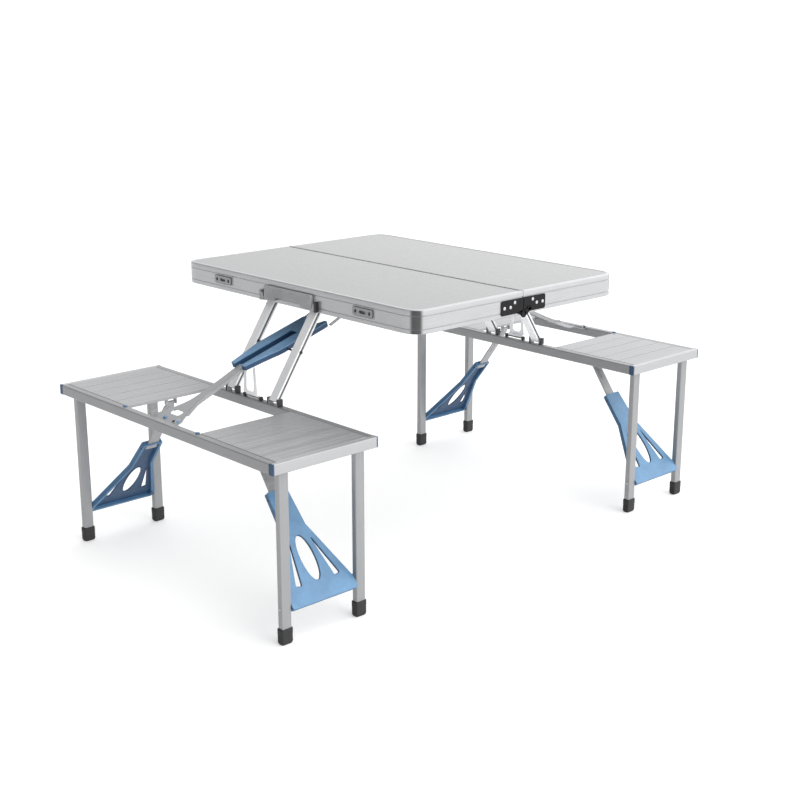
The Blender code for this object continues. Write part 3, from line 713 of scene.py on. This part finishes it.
def build_handle():
    """A moulded grip between two end brackets, with a finger opening along its lower edge."""
    at = joint_at("handle_swing")
    outline = [
        (-HANDLE_HALF, HANDLE_LOW), *((-x, z) for x, z in FINGER_OPENING),
        *reversed(FINGER_OPENING), (HANDLE_HALF, HANDLE_LOW), (HANDLE_HALF, HANDLE_HIGH),
        (-HANDLE_HALF, HANDLE_HIGH),
    ]
    bar = plate("XZ", [eased(outline, 0.005, 5)], -0.004, 0.004, 0.0022)
    rib = plate("XZ", [eased(GRIP_RIB, 0.004)], -0.0046, -0.003, 0.0006)
    ends = [pin(low, low + HANDLE_PIN_LENGTH, (0, 0, 0), 0.0038) for low in HANDLE_PINS]
    piece(
        "moulded_handle", [bar, rib, *ends], GREY, "handle", Matrix.Translation(at),
        ["carry_handle"],
    )
    back = -FRAME_HIGH.y - GAP
    front = at.y - 0.0042
    for way, end, cap_material in ((1, "near", BLACK), (-1, "far", LINK_METAL)):
        low, high = between(way, *BRACKET_ENDS)
        bracket = block((low, front, at.z - 0.007), (high, back, at.z + 0.012), 0.001)
        piece(f"handle_bracket_{end}", [bracket], LINK_METAL, "table_a")
        low, high = between(way, *CAP_ENDS)
        cap = block((low, front - 0.0006, at.z - 0.008), (high, back, at.z + 0.017), 0.0018)
        piece(f"handle_bracket_cap_{end}", [cap], cap_material, "table_a")


# A latch's openings: centre and reach as shares of its half length, then half height.
LATCH_OPENINGS = ((0, 0.3, 0.0028), (-0.68, 0.1, 0.0035), (0.68, 0.1, 0.0035))


def build_latch(end):
    """A flat lever with three openings, over a dark plate that paints the shade behind them, inside a shallow
    surround.
    """
    low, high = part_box(f"latch_{end}")
    x, y = (low.x + high.x) / 2, (low.y + high.y) / 2
    half, middle = (high.x - low.x) / 2, (low.z + high.z) / 2

    def drawn_in(x, z):
        """The lever's box in elevation, drawn in along each axis."""
        return rectangle((-half + x, low.z + z), (half - x, high.z - z))

    lever = drawn_in(0.001, 0.0008)
    holes = []
    for centre, reach, rise in LATCH_OPENINGS:
        corners = (
            ((centre - reach) * half, middle - rise), ((centre + reach) * half, middle + rise)
        )
        holes.append(eased(rectangle(*corners), 0.003))
    place = Matrix.Translation((x, 0, 0))
    piece(
        f"latch_lever_{end}",
        [plate("XZ", [eased(lever, 0.004), *holes], low.y, high.y, 0.0008),
         pin(-half + 0.002, half - 0.002, (0, y, low.z + 0.0024), 0.0015)],
        LATCH_METAL, f"latch_{end}", place, [f"latch_{end}"],
    )
    face = -FRAME_HIGH.y
    # The dark plate behind the lever's openings is painted shade in the latch's recess.
    back = plate("XZ", [eased(drawn_in(0.002, 0.002), 0.003)], face - 0.0005, face, 0.0002)
    piece(f"latch_plate_{end}", [back], RECESS_SHADE_METAL, "table_a", place)
    inside = eased(drawn_in(-0.0004, -0.0004), 0.004)
    outside = eased(drawn_in(-0.0025, -0.0022), 0.005)
    rim = plate("XZ", [outside, inside], face - 0.0008, face, 0.0002)
    piece(f"latch_surround_{end}", [rim], FRAME_METAL, "table_a", place)


# Benches

SLATS = 5
FINE_LINES = (1 / 3, 2 / 3)
BRACKET_WIDTH = 0.0045
PROP_KNUCKLE = (0.0264, 0.0335)
SEAT_EAR = (0.0108, 0.0138)


def seat_profile():
    """The slats in section, each with fine lines along it, and a groove between each two."""
    start, stop = SEAT_LOW.x, SEAT_HIGH.x
    top, under = SEAT_HIGH.z, SEAT_HIGH.z - SEAT_THICKNESS
    width = (stop - start) / SLATS
    points = [(start, top - 0.0006), (start + 0.0006, top)]
    for i in range(SLATS):
        left = start + i * width
        for share in FINE_LINES:
            x = left + share * width
            points += [(x - 0.0006, top), (x, top - 0.0008), (x + 0.0006, top)]
        if i < SLATS - 1:
            x = left + width
            points += [
                (x - 0.001, top), (x - 0.0006, top - 0.002), (x + 0.0006, top - 0.002),
                (x + 0.001, top),
            ]
    points += [(stop - 0.0006, top), (stop, top - 0.0006), (stop, under), (start, under)]
    return points


def build_bench(tag):
    """What stands on the rails between the seats: the arms' feet and the prop's knuckles."""
    body, side = f"bench_{tag}", SIDES[tag]
    # The rails get the metal with painted shade.
    dress(f"rail_outer_{tag}", SHADED_RAIL_METAL)
    dress(f"rail_inner_{tag}", SHADED_RAIL_METAL)
    base = RAIL_HIGH.z + GAP
    brackets = []
    for x in (-ARM_X, ARM_X):
        for way in (-1, 1):
            near = x + way * (ARM_WIDTH / 2 + GAP + EAR)
            low, high = sorted((near, near + way * BRACKET_WIDTH))
            brackets.append(block(
                (low, BENCH_PIVOT.y - 0.0075, base),
                (high, BENCH_PIVOT.y + 0.0075, BENCH_PIVOT.z + 0.0062), 0.0012,
            ))
    piece(f"arm_foot_pins_{tag}", arm_pins(BENCH_PIVOT, 0.003), RIVET_METAL, body, side)
    piece(f"arm_foot_brackets_{tag}", brackets, BLACK, body, side)
    at = side.inverted() @ joint_at(f"prop_{tag}_turn")
    knuckles = [pin(-0.03, 0.03, (0, at.y, at.z), 0.0016)]
    for way in (-1, 1):
        low, high = between(way, *PROP_KNUCKLE)
        knuckles.append(
            block((low, at.y - 0.0048, base), (high, at.y + 0.0048, at.z + 0.0046), 0.0016)
        )
    piece(f"prop_knuckles_{tag}", knuckles, BLACK, body, side)


def build_bench_end(tag, end):
    """One seat with the ears of its leg link, the end bar's caps and the clip beside the seat."""
    body, place = f"bench_{tag}", bench_end(tag, end)
    dress(f"end_bar_{tag}_{end}", BAR_METAL)
    half = SEAT_HIGH.y - BENCH_MIDDLE
    under = SEAT_HIGH.z - SEAT_THICKNESS
    ear = [
        (LINK_PIVOT.x - 0.006, under), (LINK_PIVOT.x - 0.006, LINK_PIVOT.z - 0.0045),
        (LINK_PIVOT.x + 0.006, LINK_PIVOT.z - 0.0045), (LINK_PIVOT.x + 0.006, under),
    ]
    ears = [plate("XZ", [eased(ear, 0.003)], *between(way, *SEAT_EAR)) for way in (-1, 1)]
    piece(
        f"slatted_seat_{tag}_{end}", [plate("XZ", [seat_profile()], -half, half, 0.0002), *ears],
        SEAT_METAL, body, place, [f"seat_{tag}_{end}"],
    )
    caps = []
    bar_half = END_BAR_HIGH.y - BENCH_MIDDLE
    rail_half = RAIL_HIGH.y - BENCH_MIDDLE
    for way in (-1, 1):
        low, high = between(way, bar_half + 0.0001, rail_half)
        cap_low = (END_BAR_LOW.x, low, END_BAR_LOW.z)
        caps.append(block(cap_low, (END_BAR_HIGH.x, high, END_BAR_HIGH.z), 0.001))
    piece(f"end_caps_{tag}_{end}", caps, NAVY, body, place)
    low, high = between(outer_way(tag, end), half + 0.002, half + 0.01)
    clip_low = (SEAT_LOW.x - 0.006, low, SEAT_HIGH.z + GAP)
    clip = block(clip_low, (SEAT_LOW.x + 0.002, high, SEAT_HIGH.z + 0.003), 0.0008)
    piece(f"seat_clip_{tag}_{end}", [clip], DEEP_BLUE, body, place)


FOOT_RIBS = 3
FOOT_RIB_PITCH = 0.005
FOOT_HEIGHT = 0.036


def foot_levels():
    """The foot's (height, inset) pairs: a rounded tread, ribs round the side, a soft upper lip."""
    levels = [(0, 0.003), (0.0012, 0.0016), (0.004, 0.0005)]
    for i in range(FOOT_RIBS):
        rise = i * FOOT_RIB_PITCH
        levels += [(0.008 + rise, 0), (0.0105 + rise, 0.0005)]
    last = 0.008 + FOOT_RIBS * FOOT_RIB_PITCH
    return levels + [
        (last, 0), (FOOT_HEIGHT - 0.0015, 0), (FOOT_HEIGHT - 0.0003, 0.0006), (FOOT_HEIGHT, 0.0014),
    ]


def foot_ring(half_x, half_y, y, height, inset):
    corners = rectangle((-half_x + inset, y - half_y + inset), (half_x - inset, y + half_y - inset))
    return [(*point, height) for point in eased(corners, 0.0045, 5)]


def build_legs(tag, end):
    """The leg pair's feet and rivets, in the frame of the pivot that they share."""
    body = f"legs_{tag}_{end}"
    place = end_hold(f"{body}_fold", end)
    drop = -joint_at(f"{body}_fold").z
    half = (FOOT_HIGH - FOOT_LOW) / 2
    pivot_height = joint_at(f"leg_brace_{tag}_{end}_turn").z + drop
    leg_half = (LEG_HIGH.y - LEG_LOW.y) / 2
    heads = []
    for way in (-1, 1):
        y = way * LEG_SPREAD
        which = "outer" if way == outer_way(tag, end) else "inner"
        dress(f"leg_{tag}_{end}_{which}", LEG_METAL)
        rings = [foot_ring(half.x, half.y, y, drop + h, inset) for h, inset in foot_levels()]
        piece(
            f"rubber_{tag}_{end}_{which}", [loft(rings)], RUBBER, body, place,
            [f"foot_{tag}_{end}_{which}"],
        )
        face = y + way * leg_half
        foot_rivet_height = FOOT_HEIGHT + 0.006 + drop
        heads.append(rivet((0, face, pivot_height), "Y", 0.0036, 0.0018, way < 0))
        heads.append(rivet((0, face, foot_rivet_height), "Y", 0.0022, 0.001, way < 0))
    piece(f"leg_rivets_{tag}_{end}", heads, RIVET_METAL, body, place)


LEG_BRACE_BACK = -0.009
LEG_BRACE_WEB = 0.0018
LEG_BRACE_FRONT = 0.0025
LEG_BRACE_RIM = 0.0058
LEG_BRACE_APEX = 0.016
LEG_BRACE_SIDE = LEG_SPREAD - 0.0135
LEG_BRACE_OVAL = (0.084, 0.052, 0.018)
LEG_BRACE_SLIT = ((0.03, 0.0455), (0.0325, 0.059), (0.124, 0.029))
# The dark layer and the cheeks round the brace's holes are painted shade.
SHADE_LAYER_THICKNESS = 0.0016
HOLE_SHADE_CHEEK = 0.0016
HOLE_SHADE_CHEEK_TOP = -0.0045


def leg_brace_outline(length, inset):
    """The brace in plan, from its broad foot between the legs to its tip past the link's pivot."""
    lug = LEG_BRACE_SIDE - inset
    tip = length + LEG_BRACE_APEX - inset
    half = [
        (-0.012 + inset, 0), (-0.012 + inset, lug - 0.003), (-0.011 + inset, lug - 0.0008),
        (-0.009 + inset, lug), (0.015 - inset, lug), (0.0175 - inset, lug - 0.0008),
        (0.019 - inset, lug - 0.003), (0.155, 0.031 - inset), (tip - 0.003, 0.0265 - inset),
        (tip - 0.0008, 0.0257 - inset), (tip, 0.0235 - inset), (tip, 0),
    ]
    return mirrored(half)


def grown(outline, width):
    """An outline moved outwards from its own middle by about a width."""
    points = [Vector(p[:2]) for p in outline]
    middle = sum(points, Vector((0, 0))) / len(points)
    count = len(points)
    moved = []
    for i, point in enumerate(points):
        along = points[(i + 1) % count] - points[i - 1]
        normal = Vector((along.y, -along.x)).normalized()
        if normal.dot(point - middle) < 0:
            normal = -normal
        moved.append(point + normal * width)
    return moved


def build_leg_brace(tag, end):
    """A thin web over a darker layer that paints shade on the brace's inner side, both pierced, with a rim
    standing behind their edge.
    """
    body = f"leg_brace_{tag}_{end}"
    place = end_hold(f"{body}_turn", end, BRACE_LEAN)
    length = local_range(body, place)[1].x - 0.003
    back, web_top = LEG_BRACE_BACK, LEG_BRACE_BACK + LEG_BRACE_WEB
    slits = [eased([(x, way * y) for x, y in LEG_BRACE_SLIT], 0.003) for way in (1, -1)]
    holes = [oval(*LEG_BRACE_OVAL), *slits]
    web = [leg_brace_outline(length, 0), *(grown(hole, 0.0012) for hole in holes)]
    piece(
        f"leg_brace_web_{tag}_{end}", [plate("XY", web, back, web_top, 0.0005)],
        BLUE, body, place, [body],
    )
    # A navy layer over the web's inner side and navy cheeks in its holes: painted shade.
    layer = [leg_brace_outline(length, 0.001), *holes]
    shade_layers = [plate("XY", layer, web_top - 0.0002, web_top + SHADE_LAYER_THICKNESS, 0.0003)]
    for hole in holes:
        shade_cheek = [grown(hole, HOLE_SHADE_CHEEK), hole]
        shade_layers.append(plate("XY", shade_cheek, web_top + 0.001, HOLE_SHADE_CHEEK_TOP, 0.0003))
    piece(f"leg_brace_shade_layer_{tag}_{end}", shade_layers, NAVY, body, place)
    outer, inner = leg_brace_outline(length, 0.0001), leg_brace_outline(length, LEG_BRACE_RIM)
    rim = plate("XY", [outer, inner], web_top - 0.0002, LEG_BRACE_FRONT, 0.0006)
    piece(f"leg_brace_rim_{tag}_{end}", [rim], DEEP_BLUE, body, place)
    heads = [rivet((length, way * 0.0263, -0.001), "Y", 0.003, 0.0012, way < 0) for way in (-1, 1)]
    piece(f"leg_brace_pins_{tag}_{end}", heads, BLACK, body, place)


def build_leg_link(tag, end):
    """A flat pressed strip with a raised rib, from under the seat to the leg brace's tip."""
    body = f"leg_link_{tag}_{end}"
    slope = travel(f"{body}_turn")
    place = end_hold(f"{body}_turn", end, slope)
    length = local_range(body, place)[1].x - 0.003
    half = [
        (-0.004, 0), (-0.004, 0.0085), (-0.002, 0.01), (0.0085, 0.01), (0.0135, 0.0132),
        (length * 0.78, 0.014), (length + 0.003, 0.0146), (length + 0.003, 0),
    ]
    rib = eased(rectangle((length * 0.08, -0.0035), (length * 0.62, 0.0035)), 0.003)
    piece(
        f"pressed_link_{tag}_{end}",
        [plate("XY", [mirrored(half)], -0.0018, 0.0018, 0.0006),
         plate("XY", [rib], -0.0028, 0.0028, 0.0006)],
        LINK_METAL, body, place, [body],
    )


# Arms, centre brace, fork, top link and prop

ARM_THICKNESS = 0.014
ARM_END = 0.0025
ARM_RECESS = 0.0018
ARM_LIP = 0.0042


def build_arms(tag):
    """Channel-section arms: pale broad faces, and along each narrow side a recess floored with dark strips that
    paint the shade inside the channel.
    """
    body = f"arms_{tag}"
    place = side_hold(tag, f"bench_{tag}_fold", travel(f"bench_{tag}_fold"))
    half, thick = ARM_WIDTH / 2, ARM_THICKNESS / 2
    recess, lip = half - ARM_RECESS, thick - ARM_LIP
    low, high = -ARM_LENGTH - ARM_END, ARM_END
    quarter = [
        (half - 0.001, thick), (half - 0.0003, thick - 0.0003), (half, thick - 0.001),
        (half, lip + 0.0003), (half - 0.0004, lip), (recess, lip),
    ]
    right = quarter + [(x, -z) for x, z in reversed(quarter)]
    section = right + [(-x, -z) for x, z in right]
    washers = []
    for end in ENDS:
        middle = outer_way(tag, end) * ARM_X
        channel = [(middle + x, z) for x, z in section]
        piece(
            f"arm_channel_{tag}_{end}", [plate("XZ", [channel], low, high, 0.0002)],
            ARM_METAL, body, place, [f"arm_{tag}_{end}"],
        )
        # Dark strips on each recess's floor are painted shade inside the channel.
        shade_strips = []
        for way in (-1, 1):
            x = middle + way * recess
            strip_low = (x - 0.0004, low + 0.001, 0.0001 - lip)
            shade_strips.append(block(strip_low, (x + 0.0004, high - 0.001, lip - 0.0001), 0.0001))
            at = (middle + way * half, -brace_on_arm(tag), 0)
            washers.append(rivet(at, "X", 0.0042, 0.0024, way < 0))
        piece(f"arm_recess_shade_{tag}_{end}", shade_strips, RECESS_SHADE_METAL, body, place)
    piece(f"arm_rivets_{tag}", washers, BLACK, body, place)


BRACE_BACK = -0.009
BRACE_FRONT = 0.004
BRACE_SKIN = 0.0028
BRACE_SLOT = 0.0128
BRACE_SLOT_END = 0.062
BRACE_FLOOR_END = -0.1


def centre_brace_outline(tip, wide, inset):
    """The brace in plan: open at its apex for the fork's neck, with a lug at each far corner."""
    half = [
        (BRACE_SLOT_END + inset, 0), (BRACE_SLOT_END + inset, BRACE_SLOT - 0.003 + inset),
        (BRACE_SLOT_END - 0.003 + inset, BRACE_SLOT + inset), (tip + inset, BRACE_SLOT + inset),
        (tip + inset, 0.0245 - inset), (tip + 0.002, 0.0262 - inset), (-0.075, 0.0325 - inset),
        (-0.045, 0.0385 - inset), (-0.028, 0.0432 - inset), (-0.012, 0.0455 - inset),
        (0.02, 0.045 - inset), (wide - 0.03, 0.0444 - inset), (wide - 0.004, 0.044 - inset),
        (wide + 0.0012 - inset, 0.041), (wide + 0.0012 - inset, 0.0315),
        (wide - 0.006, 0.0285 + inset), (wide - 0.018 - inset, 0.022), (wide - 0.018 - inset, 0),
    ]
    return mirrored(half)


def build_centre_brace(tag):
    """A moulded navy body, its sides painted shade, under a paler skin, with a closed-bottomed slot along its
    middle whose floor is painted shade.
    """
    body, place = f"centre_brace_{tag}", brace_hold(tag)
    low, high = local_range(body, place)
    tip, wide = low.y, high.y - 0.0015
    under = BRACE_BACK + BRACE_SKIN
    skin = plate("YX", [centre_brace_outline(tip, wide, 0)], BRACE_BACK, under, 0.0009)
    piece(f"centre_brace_skin_{tag}", [skin], BLUE, body, place, [body])
    # The navy core under the pale skin paints the shade on the brace's sides.
    shaded_core = plate(
        "YX", [centre_brace_outline(tip, wide, 0.0006)], under - 0.0008, BRACE_FRONT, 0.0006
    )
    # The navy floor closing the slot is painted shade in the slot.
    half = BRACE_SLOT + 0.001
    floor_low = (-half, BRACE_FLOOR_END, 0.0023)
    floor = block(floor_low, (half, BRACE_SLOT_END + 0.001, 0.0037), 0.0002)
    piece(f"centre_brace_core_{tag}", [shaded_core, floor], NAVY, body, place)
    side_x = ARM_X - ARM_WIDTH / 2 - GAP
    pins = [pin(*between(way, 0.04, side_x), (0, 0, 0), 0.0022) for way in (-1, 1)]
    tips = [pin(-0.0065, 0.0065, (way * 0.036, wide - 0.0045, -0.003), 0.0038) for way in (-1, 1)]
    piece(f"centre_brace_pins_{tag}", pins + tips, BLACK, body, place)


FORK_SHEET = 0.0018
FORK_FLANGE = 0.0095
FORK_FLANGE_START = 0.034
FORK_FLANGE_RISE = 0.012
FORK_BOW = 0.012
FORK_STEPS = 16
FORK_NECK = 0.0106
# The fork's half width along its length, before its neck.
FORK_EDGE = (
    (-0.0035, 0.0495), (0.012, 0.0495), (0.015, 0.0482), (0.045, 0.029), (0.065, 0.019),
    (0.085, 0.0124), (0.105, 0.0112), (0.13, FORK_NECK),
)
FORK_OPENING = rectangle((-0.044, -0.018), (-0.026, 0.018))
FORK_EAR = rectangle((-0.015, -0.0022), (0.0032, 0.0105))
FORK_EAR_SIDES = (0.046, 0.0476)
FORK_PIVOT = (-0.006, 0.0055)


def ramp(value, start, length):
    """How far a value is along a stretch, from 0 before it to 1 after it."""
    return min(max((value - start) / length, 0), 1)


def cut_across(sheet, places):
    """Adds edges across a sheet at places along its Y, so that it can bend there."""
    for along in places:
        geometry = sheet.verts[:] + sheet.edges[:] + sheet.faces[:]
        bmesh.ops.bisect_plane(sheet, geom=geometry, plane_co=(0, along, 0), plane_no=(0, 1, 0))


def fork_flange(edge, bow, way):
    """The flange that hangs from one side of the bowed sheet, deeper past the folded legs."""
    rings = []
    for one, two in zip(edge, edge[1:] + edge[-1:]):
        steps = max(1, round((two[0] - one[0]) / 0.01))
        for step in range(steps):
            t = step / steps
            along, half = (a + (b - a) * t for a, b in zip(one, two))
            top = bow(along) + FORK_SHEET / 2 - 0.0003
            share = ramp(along, FORK_FLANGE_START, FORK_FLANGE_RISE)
            deep = top - FORK_SHEET + (FORK_SHEET - FORK_FLANGE) * share
            thin = half - FORK_SHEET
            rings.append([
                (way * half, -along, top), (way * half, -along, deep),
                (way * thin, -along, deep), (way * thin, -along, top),
            ])
    return loft(rings)


def build_fork(tag):
    """A bowed channel: a broad base at the outer rail drawn in to a neck at the brace's apex."""
    body = f"fork_link_{tag}"
    apex = local_range(f"centre_brace_{tag}", brace_hold(tag))[0].y + 0.007
    pivot = SIDES[tag].inverted() @ joint_at(f"{body}_turn")
    reach = SIDES[tag].inverted() @ (brace_hold(tag) @ Vector((0, apex, 0))) - pivot
    length = reach.length
    tilt = atan2(reach.z, reach.y) - pi
    place = side_hold(tag, f"{body}_turn", tilt)

    def bow(along):
        share = ramp(along, 0, length)
        return -FORK_BOW * share * (1 - share)

    edge = [*FORK_EDGE, (length + 0.0055, FORK_NECK)]
    outline = mirrored([(-along, half) for along, half in edge])
    opening = eased(FORK_OPENING, 0.007)
    sheet = plate("YX", [outline, opening], -FORK_SHEET / 2, FORK_SHEET / 2, 0.0004)
    cut_across(sheet, [-length * i / FORK_STEPS for i in range(1, FORK_STEPS)])
    for vertex in sheet.verts:
        vertex.co.z += bow(-vertex.co.y)
    shapes = [sheet, *(fork_flange(edge, bow, way) for way in (-1, 1))]
    for way in (-1, 1):
        ear = eased(FORK_EAR, 0.0055, 5)
        shapes.append(plate("YZ", [ear], *between(way, *FORK_EAR_SIDES), 0.0004))
        shapes.append(pin(*between(way, 0.0465, 0.048), (0, *FORK_PIVOT), 0.0016))
    piece(f"pressed_fork_{tag}", shapes, FORK_METAL, body, place, [body])
    heads = [rivet((way * 0.0475, *FORK_PIVOT), "X", 0.0036, 0.0016, way < 0) for way in (-1, 1)]
    piece(f"fork_pivots_{tag}", heads, BLUE if tag == "a" else BLACK, body, place)
    knob = rivet((0.009, -0.009, FORK_SHEET / 2), "Z", 0.0045, 0.004)
    piece(f"fork_knob_{tag}", [knob], BLUE, body, place)
    washer = rivet((-0.027, -0.007, FORK_SHEET / 2), "Z", 0.0038, 0.0014)
    piece(f"fork_washer_{tag}", [washer], BLACK, body, place)


TOP_LINK_HALVES = (0.0025, 0.0028, 0.0036)  # half widths at the pivot, the bend and the tip
TOP_LINK_SIDES = (0.048, 0.0505)
TOP_LINK_REACH = 0.0512


def build_top_link(tag):
    """Two cranked flat bars joined by a cross rod under the shell."""
    body = f"top_link_{tag}"
    place = side_hold(tag, f"{body}_turn", travel(f"{body}_turn"))
    points = local_points(body, place)
    high = max(p.y for p in points)
    ends = [p.z for p in points if p.y > high - 0.0005]
    tip = Vector((high - 0.001, sum(ends) / len(ends)))
    bend = ARM_PIVOT.y - brace_on_arm(tag) - abs(joint_at(f"{body}_turn").y) + 0.012
    # The stretch before the bend lies just under the shell's panel when the bench is folded.
    ceiling = max(p.z for p in points) - GAP
    level = min(0, ceiling - TOP_LINK_HALVES[1])
    line = [Vector((-0.002, level)), Vector((bend, level)), tip]
    upper, lower = [], []
    for i, (point, half) in enumerate(zip(line, TOP_LINK_HALVES)):
        along = (line[min(i + 1, 2)] - line[max(i - 1, 0)]).normalized()
        normal = Vector((-along.y, along.x)) * half
        upper.append(point + normal)
        lower.append(point - normal)
    outline = eased(upper + lower[::-1], 0.003)
    shapes = [pin(-TOP_LINK_REACH, TOP_LINK_REACH, (0, 0, 0), 0.0018)]
    for way in (-1, 1):
        shapes.append(plate("YZ", [outline], *between(way, *TOP_LINK_SIDES), 0.0005))
        sides = between(way, 0.0452, TOP_LINK_REACH)
        shapes.append(pin(*sides, (0, tip.x - 0.002, tip.y), 0.0022))
    piece(f"flat_top_link_{tag}", shapes, LINK_METAL, body, place, [body])


PROP_SHEET = 0.0018
PROP_JOGGLE = 0.0068
PROP_JOGGLE_START = 0.0045
PROP_JOGGLE_LENGTH = 0.004


def build_prop(tag):
    """A pressed yoke, broad at the inner rail, its prongs stepped back clear of the brace."""
    body = f"prop_{tag}"
    place = side_hold(tag, f"{body}_turn", pi / 2)
    length = local_range(body, place)[1].y
    half = [
        (-0.0018, 0), (-0.0018, 0.025), (0.004, 0.026), (0.02, 0.025), (0.045, 0.0222),
        (length - 0.003, 0.0205), (length, 0.019), (length, 0.0155), (length - 0.008, 0.0132),
        (0.04, 0.0142), (0.022, 0.015), (0.016, 0.0125), (0.0135, 0.007), (0.013, 0),
    ]
    sheet = plate("YX", [mirrored(half)], -PROP_SHEET / 2, PROP_SHEET / 2, 0.0004)
    cut_across(sheet, [PROP_JOGGLE_START + PROP_JOGGLE_LENGTH * t for t in (0, 0.5, 1)])
    for vertex in sheet.verts:
        vertex.co.z -= PROP_JOGGLE * ramp(vertex.co.y, PROP_JOGGLE_START, PROP_JOGGLE_LENGTH)
    piece(f"pressed_prop_{tag}", [sheet], ARM_METAL, body, place, [body])


# Stage, light and camera

FLOOR_SIZE = 200
FLOOR_GLOW = 0.36


def build_stage():
    """A plain pale floor with a slight glow of its own, so that it stays near white."""
    mesh = bpy.data.meshes.new("studio_floor")
    bm = bmesh.new()
    bmesh.ops.create_grid(bm, x_segments=2, y_segments=2, size=FLOOR_SIZE)
    bm.to_mesh(mesh)
    bm.free()
    material = new_material("studio_floor", 0.9)
    shade = grain(material, (0.5, 0.5, 0.5), 2.0)
    tone = mixed(material, spread(material, shade, 0, 1), (0.7, 0.7, 0.7), (0.72, 0.72, 0.72))
    shader = shader_of(material)
    connect(tone, shader.inputs["Base Color"])
    glow = {"Emission Color": (1, 1, 1, 1), "Emission Strength": FLOOR_GLOW}
    set_inputs(shader, {"Specular IOR Level": 0.1, **glow})
    mesh.materials.append(material)
    add_object("studio_floor", mesh)


WORLD_SLOPE = (0.52, 1.15, 0.25)
WORLD_LEVEL = 1.05
WORLD_LEAST = 0.12
SUN_WAY = Vector((0.88, 0.1, 0.42))
SUN_STRENGTH = 0.9
SUN_ANGLE = radians(40)


def add_sun():
    data = bpy.data.lights.new("key", "SUN")
    data.energy = SUN_STRENGTH
    data.angle = SUN_ANGLE
    light = add_object("key", data)
    light.rotation_mode = "QUATERNION"
    light.rotation_quaternion = SUN_WAY.to_track_quat("Z", "Y")


def build_light():
    """A pale surround, brighter towards one side and above, with a soft sun from +X."""
    world = bpy.data.worlds.new("studio")
    world.use_nodes = True
    place = add_node(world, "TexCoord")
    slope = add_node(world, "VectorMath", operation="DOT_PRODUCT")
    set_inputs(slope, {1: WORLD_SLOPE})
    level = add_node(world, "Math", operation="ADD")
    set_inputs(level, {1: WORLD_LEVEL})
    least = add_node(world, "Math", operation="MAXIMUM")
    set_inputs(least, {1: WORLD_LEAST})
    background = world.node_tree.nodes["Background"]
    set_inputs(background, {"Color": (1, 1, 1, 1)})
    connect(place.outputs["Generated"], slope.inputs[0])
    connect(slope.outputs["Value"], level.inputs[0])
    connect(level.outputs[0], least.inputs[0])
    connect(least.outputs[0], background.inputs["Strength"])
    bpy.context.scene.world = world
    add_sun()
    bpy.context.scene.view_settings.view_transform = "Standard"


# Angles in radians, distances in metres, lens and sensor in millimetres.
CAMERA_AZIMUTH = 0.8221
CAMERA_ELEVATION = 0.2759
CAMERA_DISTANCE = 3.1218
CAMERA_TARGET = Vector((0.2295, -0.197, 0.4))
CAMERA_LENS = 60.46
CAMERA_SENSOR = 36


def build_camera():
    data = bpy.data.cameras.new("camera")
    data.lens = CAMERA_LENS
    data.sensor_width = CAMERA_SENSOR
    camera = add_object("camera", data)
    across = cos(CAMERA_ELEVATION)
    back = Vector((
        sin(CAMERA_AZIMUTH) * across, -cos(CAMERA_AZIMUTH) * across,
        sin(CAMERA_ELEVATION),
    ))
    camera.location = CAMERA_TARGET + back * CAMERA_DISTANCE
    camera.rotation_mode = "QUATERNION"
    camera.rotation_quaternion = back.to_track_quat("Z", "Y")
    bpy.context.scene.camera = camera


build_camera()
for tag in "ab":
    build_table_top(tag)
    build_bench(tag)
    build_arms(tag)
    build_centre_brace(tag)
    build_fork(tag)
    build_top_link(tag)
    build_prop(tag)
    for end in ENDS:
        build_bench_end(tag, end)
        build_legs(tag, end)
        build_leg_brace(tag, end)
        build_leg_link(tag, end)
for end in ENDS:
    build_hinge(end)
    build_latch(end)
build_handle()
build_stage()
build_light()
